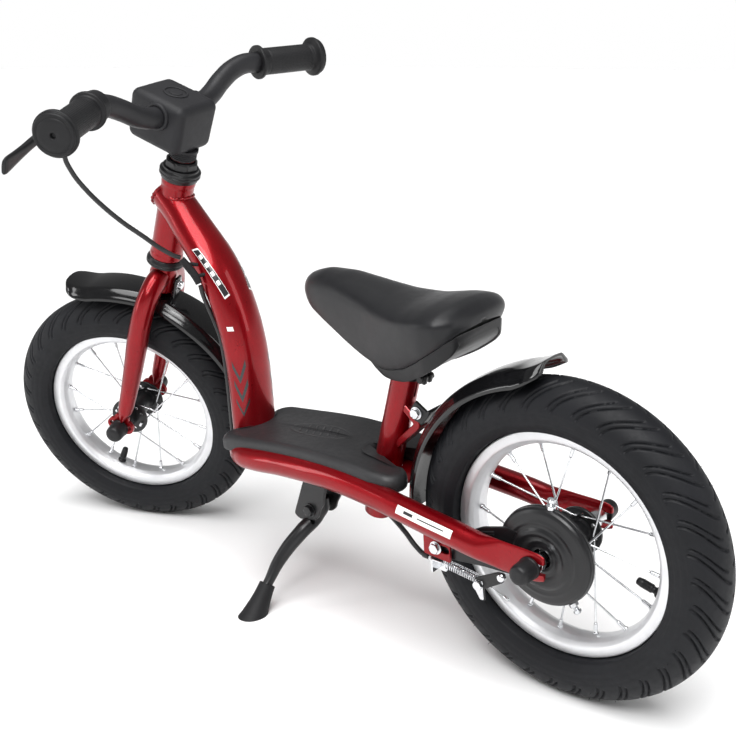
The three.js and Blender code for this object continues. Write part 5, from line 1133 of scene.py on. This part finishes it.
brow = np.array([[90.5, 34, 185.8, 10], [92, 38, 184, 13], [96, 42, 181.5, 16], [105, 46, 174.5, 17], [118, 47.5, 165.5, 17], [135, 43, 154.5, 15.5], [155, 38, 144.5, 13], [178, 34, 140, 9], [191, 32, 142.6, 5], [197, 30, 144.6, 3]], float)
tq = np.concatenate([[0], np.cumsum(np.linalg.norm(np.diff(brow[:, :3], axis=0), axis=1))])
bq = np.stack([pchip(tq, brow[:, i], np.linspace(0, tq[-1], 90)) for i in range(4)], 1)
rings = []
for x, b, zl, h in bq:
    hs = [(0, zl - 0.6), (b * 0.6, zl - 0.5), (b - 1.2, zl - 0.5), (b - 0.6, zl - 0.9), (b - 0.5, zl - 2.2), (b - 0.9, zl - h * 0.45), (b - 1.6, zl - h * 0.88), (b - 2.4, zl - h), (b - 4.0, zl - h), (b - 5.2, zl - h + 0.9), (b - 6.2, zl - h + 2.0), (b * 0.4, zl - h + 2.4), (0, zl - h + 2.5)]
    full = hs + [(-y, z) for y, z in hs[::-1][1:-1]]
    rings.append([(x, y, z) for y, z in full])
base = skin(np.array(rings))
sock = lathe([(12.98, 1), (17.2, 1), (18, 1.9), (18, 7), (17.4, 7.6), (17.4, 9.6), (18, 10.2), (18.5, 22), (12.98, 22)], seat_at(0), SD, 72, True, 0.5)
ribs = [put(block((12, 3.0, 14), (-16.5, y, 8), 0.8, 2), np.block([[np.stack([sx, [0, 1, 0], SD], 1), seat_at(2)[:, None]], [np.zeros((1, 3)), np.ones((1, 1))]])) for y in (-7, 0, 7)]
piece("saddle_base_fine", [base, sock, *ribs], B, "saddle", PLASTIC, ["saddle_base"], 40)

# ---------------------------------------------------------------- handlebar, stem, grips, lever
piece("stem_fine", [rod((0, 0, 228), (0, 0, 382), 11.1, n=72), rod((16.5, -19, 391), (16.5, 19, 391), 16.5, n=72), rod((0.6, 0, 376), (11.5, 0, 385), 11.1, n=48)], BARS, "handlebar_set", BLACK_PAINT, ["stem"])
side = [[30, 16.5, 391], [45, 17, 392], [60, 19.4, 396], [80, 23.4, 405.4], [100, 25.2, 413.8], [118, 23.4, 418.8], [138, 16.8, 420], [175, 2.3, 423], [211, -11.9, 425.9]]
bar_pts = [[x, y, z] for y, x, z in side[::-1]] + [[16.5, 12, 391], [16.5, -12, 391]] + [[x, -y, z] for y, x, z in side]
piece("handlebar_fine", [sweep(bar_pts, 11.1, 260, 48)], BARS, "handlebar_set", BAR_PAINT, ["handlebar"])

# soft stem cover: a rounded block, waisted a little, with sleeves where the bar and the stem come out
bm = bmesh.new()
bmesh.ops.create_cube(bm, size=1)
bmesh.ops.scale(bm, vec=(70, 62, 55), verts=bm.verts)
bmesh.ops.bevel(bm, geom=bm.edges[:], offset=9.5, segments=7, profile=0.5, affect="EDGES")
bmesh.ops.subdivide_edges(bm, edges=bm.edges[:], cuts=2, use_grid_fill=True)
for v in bm.verts:
    x, y, z = v.co
    v.co.y = y * (1 + 0.03 * (z / 27.5)) - 0.0
    v.co.x = x * (1 + 0.02 * (z / 27.5))
    bulge = (1 - (x / 35.5) ** 2) * (1 - (y / 31.5) ** 2)
    if z > 0:
        v.co.z = z + 1.1 * bulge * (z / 27.5) - 0.8
bm.verts.ensure_lookup_table()
cv = np.array([v.co for v in bm.verts]) + np.array([21.5, 0, 381.6])
cf = [tuple(v.index for v in f.verts) for f in bm.faces]
bm.free()
emblem = [lathe([(11.2, 0), (11.2, 1.1), (12.3, 1.5), (13.4, 1.1), (13.4, 0)], (21.5, 0, 409.0), (0, 0, 1), 64, True, 0.3), lathe([(0, 0), (7.4, 0), (7.0, 1.0), (0, 1.2)], (21.5, 0, 409.0), (0, 0, 1), 48, False, 0.3)]
sleeves = [lathe([(11.4, 0), (15.2, 0), (14.6, 3.2), (13.2, 4.2), (11.4, 4.2)], (16.7, s * 30.6, 391.2), (0, s, 0.02), 56, True, 0.8) for s in (1, -1)]
collar_rings = lathe([(11.2, 345.4)] + [q_ for z_ in (345.4, 347.4, 349.4, 351.4) for q_ in ((14.2, z_), (14.8, z_ + 0.4), (14.8, z_ + 1.2), (14.2, z_ + 1.6))] + [(15.6, 353.6), (15.6, 356.5), (11.2, 356.5)], (0, 0, 0), (0, 0, 1), 64, True, 0.15)
piece("stem_cover_fine", [(cv, cf), *emblem, *sleeves, collar_rings], BARS, "handlebar_set", SOFT_PLASTIC, ["stem_cover"], 60)

for s, nm in ((1, "left"), (-1, "right")):
    ga, gb = np.array([16.8, s * 138, 420]), np.array([-12.6, s * 213, 426])
    gd = unit(gb - ga)
    P = [(11.5, -3), (18.2, -3), (18.8, -2.2), (18.8, 0.6), (18.0, 1.6), (16.2, 2.2), (15.0, 3.2), (15.0, 8), (14.7, 8.6), (14.7, 9.4), (15.0, 10), (15.0, 64), (14.7, 64.6), (14.7, 65.4), (15.0, 66), (15.1, 69.5), (17.5, 71.0), (20.6, 72.2),
         (21.8, 73.2), (21.8, 76.4), (21.0, 77.2), (20.2, 77.4), (19.9, 78.6), (20.0, 80.0), (19.2, 81.2), (17.5, 81.6), (16.8, 81.0), (15.8, 80.9), (15.0, 81.6), (12, 82.2), (5.5, 82.5), (3.2, 82.2), (2.6, 81.2), (2.6, 79.5), (11.5, 79.3)]
    mat = node_mat("grip_rubber_" + nm, (0.008, 0.008, 0.009), 0.5, spec=0.3, tint=0.15, big=0.06, grain=3.0, grain_depth=0.01, extra=knurl(ga, gd, 52, 1.9, 0.13, 10.5, 63.5))
    piece("grip_%s_fine" % nm, [lathe(P, ga, gd, 96, True, 0.35, 2)], BARS, "handlebar_set", mat, ["grip_" + nm], 50)
cd = unit((21.6 - 24.6, 15, 1.7))
ring = lathe([(11.5, -7), (15.0, -7), (15.6, -6), (15.6, 6), (15.0, 7), (11.5, 7)], (22.2, 124.6, 419.2), cd, 64, True, 0.4)
reach = loft([[33, 123, 414, 9, 5.5], [38, 121, 405, 9, 5.5], [42, 119, 399, 7, 5]], (0, 1, 0), 30, 32, end=1.5)
b0, b1, b2 = in_bars([464.6, 112.4, 369.6]), in_bars([469.9, 117, 366]), in_bars([465.5, 113, 369.2])
barrel = lathe([(2.4, 0), (4, 0), (4, 2.6), (3.5, 3.0), (4, 3.4), (4, 5.4), (3.2, 6.6), (2.4, 7.4)], b0, np.array(b1) - np.array(b0), 32, True, 0.2)
piece("brake_lever_clamp_fine", [ring, reach, rod((42, 119, 399), b2, 4.4, 4, 32), barrel, rod((38, 112, 402), (38, 130, 404), 3.0, n=24)], BARS, "handlebar_set", PLASTIC, ["brake_lever_clamp"])
blade = [[36, 133.5, 404.5, 4.4, 5], [43.5, 146, 397.5, 4.6, 4.6], [45, 162, 391.5, 4.6, 4.2], [41, 180, 388.6, 5, 3.8], [34.5, 198, 387.6, 5.6, 3.4], [28, 215, 387, 7, 3], [21.5, 232, 386.6, 8.4, 2.8], [20, 236, 386.5, 7.6, 2.2]]
piece("brake_lever_fine", [loft(blade, (1, 0, 0), 90, 40, power=2.6, end=1.6)], BARS, "brake_lever", PLASTIC, ["brake_lever"], 50)

# white patch on the left stay, plain, with two thin bars of grey
for s_, side_name in ((1, "left"),):
    patch = rail_patch(0.25, 0.43, 44, 82)
    piece("stay_patch_" + side_name, [patch], B, "frame", WHITE_VINYL, closed=False)
    bars_ = []
    for u0_, u1_, d0_, d1_ in ((0.275, 0.36, 60, 65), (0.375, 0.405, 56, 69)):
        v_, f_ = rail_patch(u0_, u1_, d0_, d1_, 24, 3)
        centre_ = np.array([RP[min(int((u0_ + (u1_ - u0_) * i / 24) * 199), 199)] for i in range(25) for _ in range(4)])
        out_ = v_ - centre_
        bars_.append((v_ + out_ / np.linalg.norm(out_, axis=1)[:, None] * 0.1, f_))
    piece("stay_patch_bars_" + side_name, bars_, B, "frame", BLACK_VINYL, closed=False)

# ---------------------------------------------------------------- camera at the viewing angle of the original picture
Rc = np.array([[-0.75554, -0.65234, -0.06009], [-0.17322, 0.2874, -0.94202], [0.63179, -0.70132, -0.33014]])
rot = B[:3, :3] * 1000
cam_pos = B[:3, :3] @ np.array([-469.7, 773.4, 485.0]) + B[:3, 3]
cm = np.eye(4)
cm[:3, 0], cm[:3, 1], cm[:3, 2], cm[:3, 3] = rot @ Rc[0], -(rot @ Rc[1]), -(rot @ Rc[2]), cam_pos
cam_data = bpy.data.cameras.new("camera")
cam_data.lens, cam_data.sensor_width = 54.59, 36.0
cam_data.clip_start, cam_data.clip_end = 0.01, 100
cam = bpy.data.objects.new("camera", cam_data)
cam.matrix_world = Matrix(cm.tolist())
scene.collection.objects.link(cam)
scene.camera = cam

# ---------------------------------------------------------------- floor and studio light
bm = bmesh.new()
S = 40.0
bmesh.ops.create_grid(bm, x_segments=8, y_segments=8, size=S)
fme = bpy.data.meshes.new("floor")
bm.to_mesh(fme)
bm.free()
floor = bpy.data.objects.new("floor", fme)
scene.collection.objects.link(floor)
fm = bpy.data.materials.new("studio_floor")
fm.use_nodes = True
nb = fm.node_tree.nodes["Principled BSDF"]
nz = fm.node_tree.nodes.new("ShaderNodeTexNoise")
nz.inputs["Scale"].default_value = 1.5
rp = fm.node_tree.nodes.new("ShaderNodeValToRGB")
rp.color_ramp.elements[0].color, rp.color_ramp.elements[1].color = (0.90, 0.90, 0.90, 1), (0.94, 0.94, 0.94, 1)
fm.node_tree.links.new(nz.outputs["Fac"], rp.inputs["Fac"])
fm.node_tree.links.new(rp.outputs["Color"], nb.inputs["Base Color"])
nb.inputs["Roughness"].default_value = 0.9
nb.inputs["Specular IOR Level"].default_value = 0.1
fme.materials.append(fm)

world = bpy.data.worlds.new("studio")
scene.world = world
world.use_nodes = True
bg = world.node_tree.nodes["Background"]
wn, wl = world.node_tree.nodes, world.node_tree.links
wt = wn.new("ShaderNodeTexCoord")
wsep = wn.new("ShaderNodeSeparateXYZ")
wl.new(wt.outputs["Generated"], wsep.inputs["Vector"])
wr = wn.new("ShaderNodeValToRGB")
wr.color_ramp.elements[0].position, wr.color_ramp.elements[1].position = 0.08, 0.22
wr.color_ramp.elements[0].color, wr.color_ramp.elements[1].color = (1, 1, 1, 1), (0.24, 0.24, 0.24, 1)
wl.new(wsep.outputs["Z"], wr.inputs["Fac"])
wl.new(wr.outputs["Color"], bg.inputs["Color"])
bg.inputs["Strength"].default_value = 1.0
sun_data = bpy.data.lights.new("broad_sky", "SUN")
sun_data.energy, sun_data.angle = 3.2, math.radians(50)
sun = bpy.data.objects.new("broad_sky", sun_data)
sun.rotation_mode = "QUATERNION"
sun.rotation_quaternion = Vector((0.25, -0.45, -1.0)).to_track_quat("-Z", "Y")
scene.collection.objects.link(sun)


def soft_box(name, pos, target, size, power):
    d = bpy.data.lights.new(name, "AREA")
    d.shape, d.size, d.size_y, d.energy = "RECTANGLE", size[0], size[1], power
    o = bpy.data.objects.new(name, d)
    o.location = pos
    o.rotation_mode = "QUATERNION"
    o.rotation_quaternion = (Vector(target) - Vector(pos)).to_track_quat("-Z", "Y")
    scene.collection.objects.link(o)


soft_box("key", (-0.9, 1.5, 1.9), (0, 0, 0.25), (0.7, 0.7), 13)
soft_box("top", (0.2, 0.0, 2.2), (0, 0, 0.2), (1.6, 0.5), 8)
soft_box("rim_left", (1.6, 1.6, 1.0), (0.1, 0, 0.3), (0.35, 1.4), 9)
soft_box("rim_right", (-1.8, -0.6, 1.2), (0, 0, 0.3), (0.5, 1.4), 6)
scene.view_settings.view_transform = "Standard"
scene.view_settings.look = "None"
scene.view_settings.exposure = 0.0
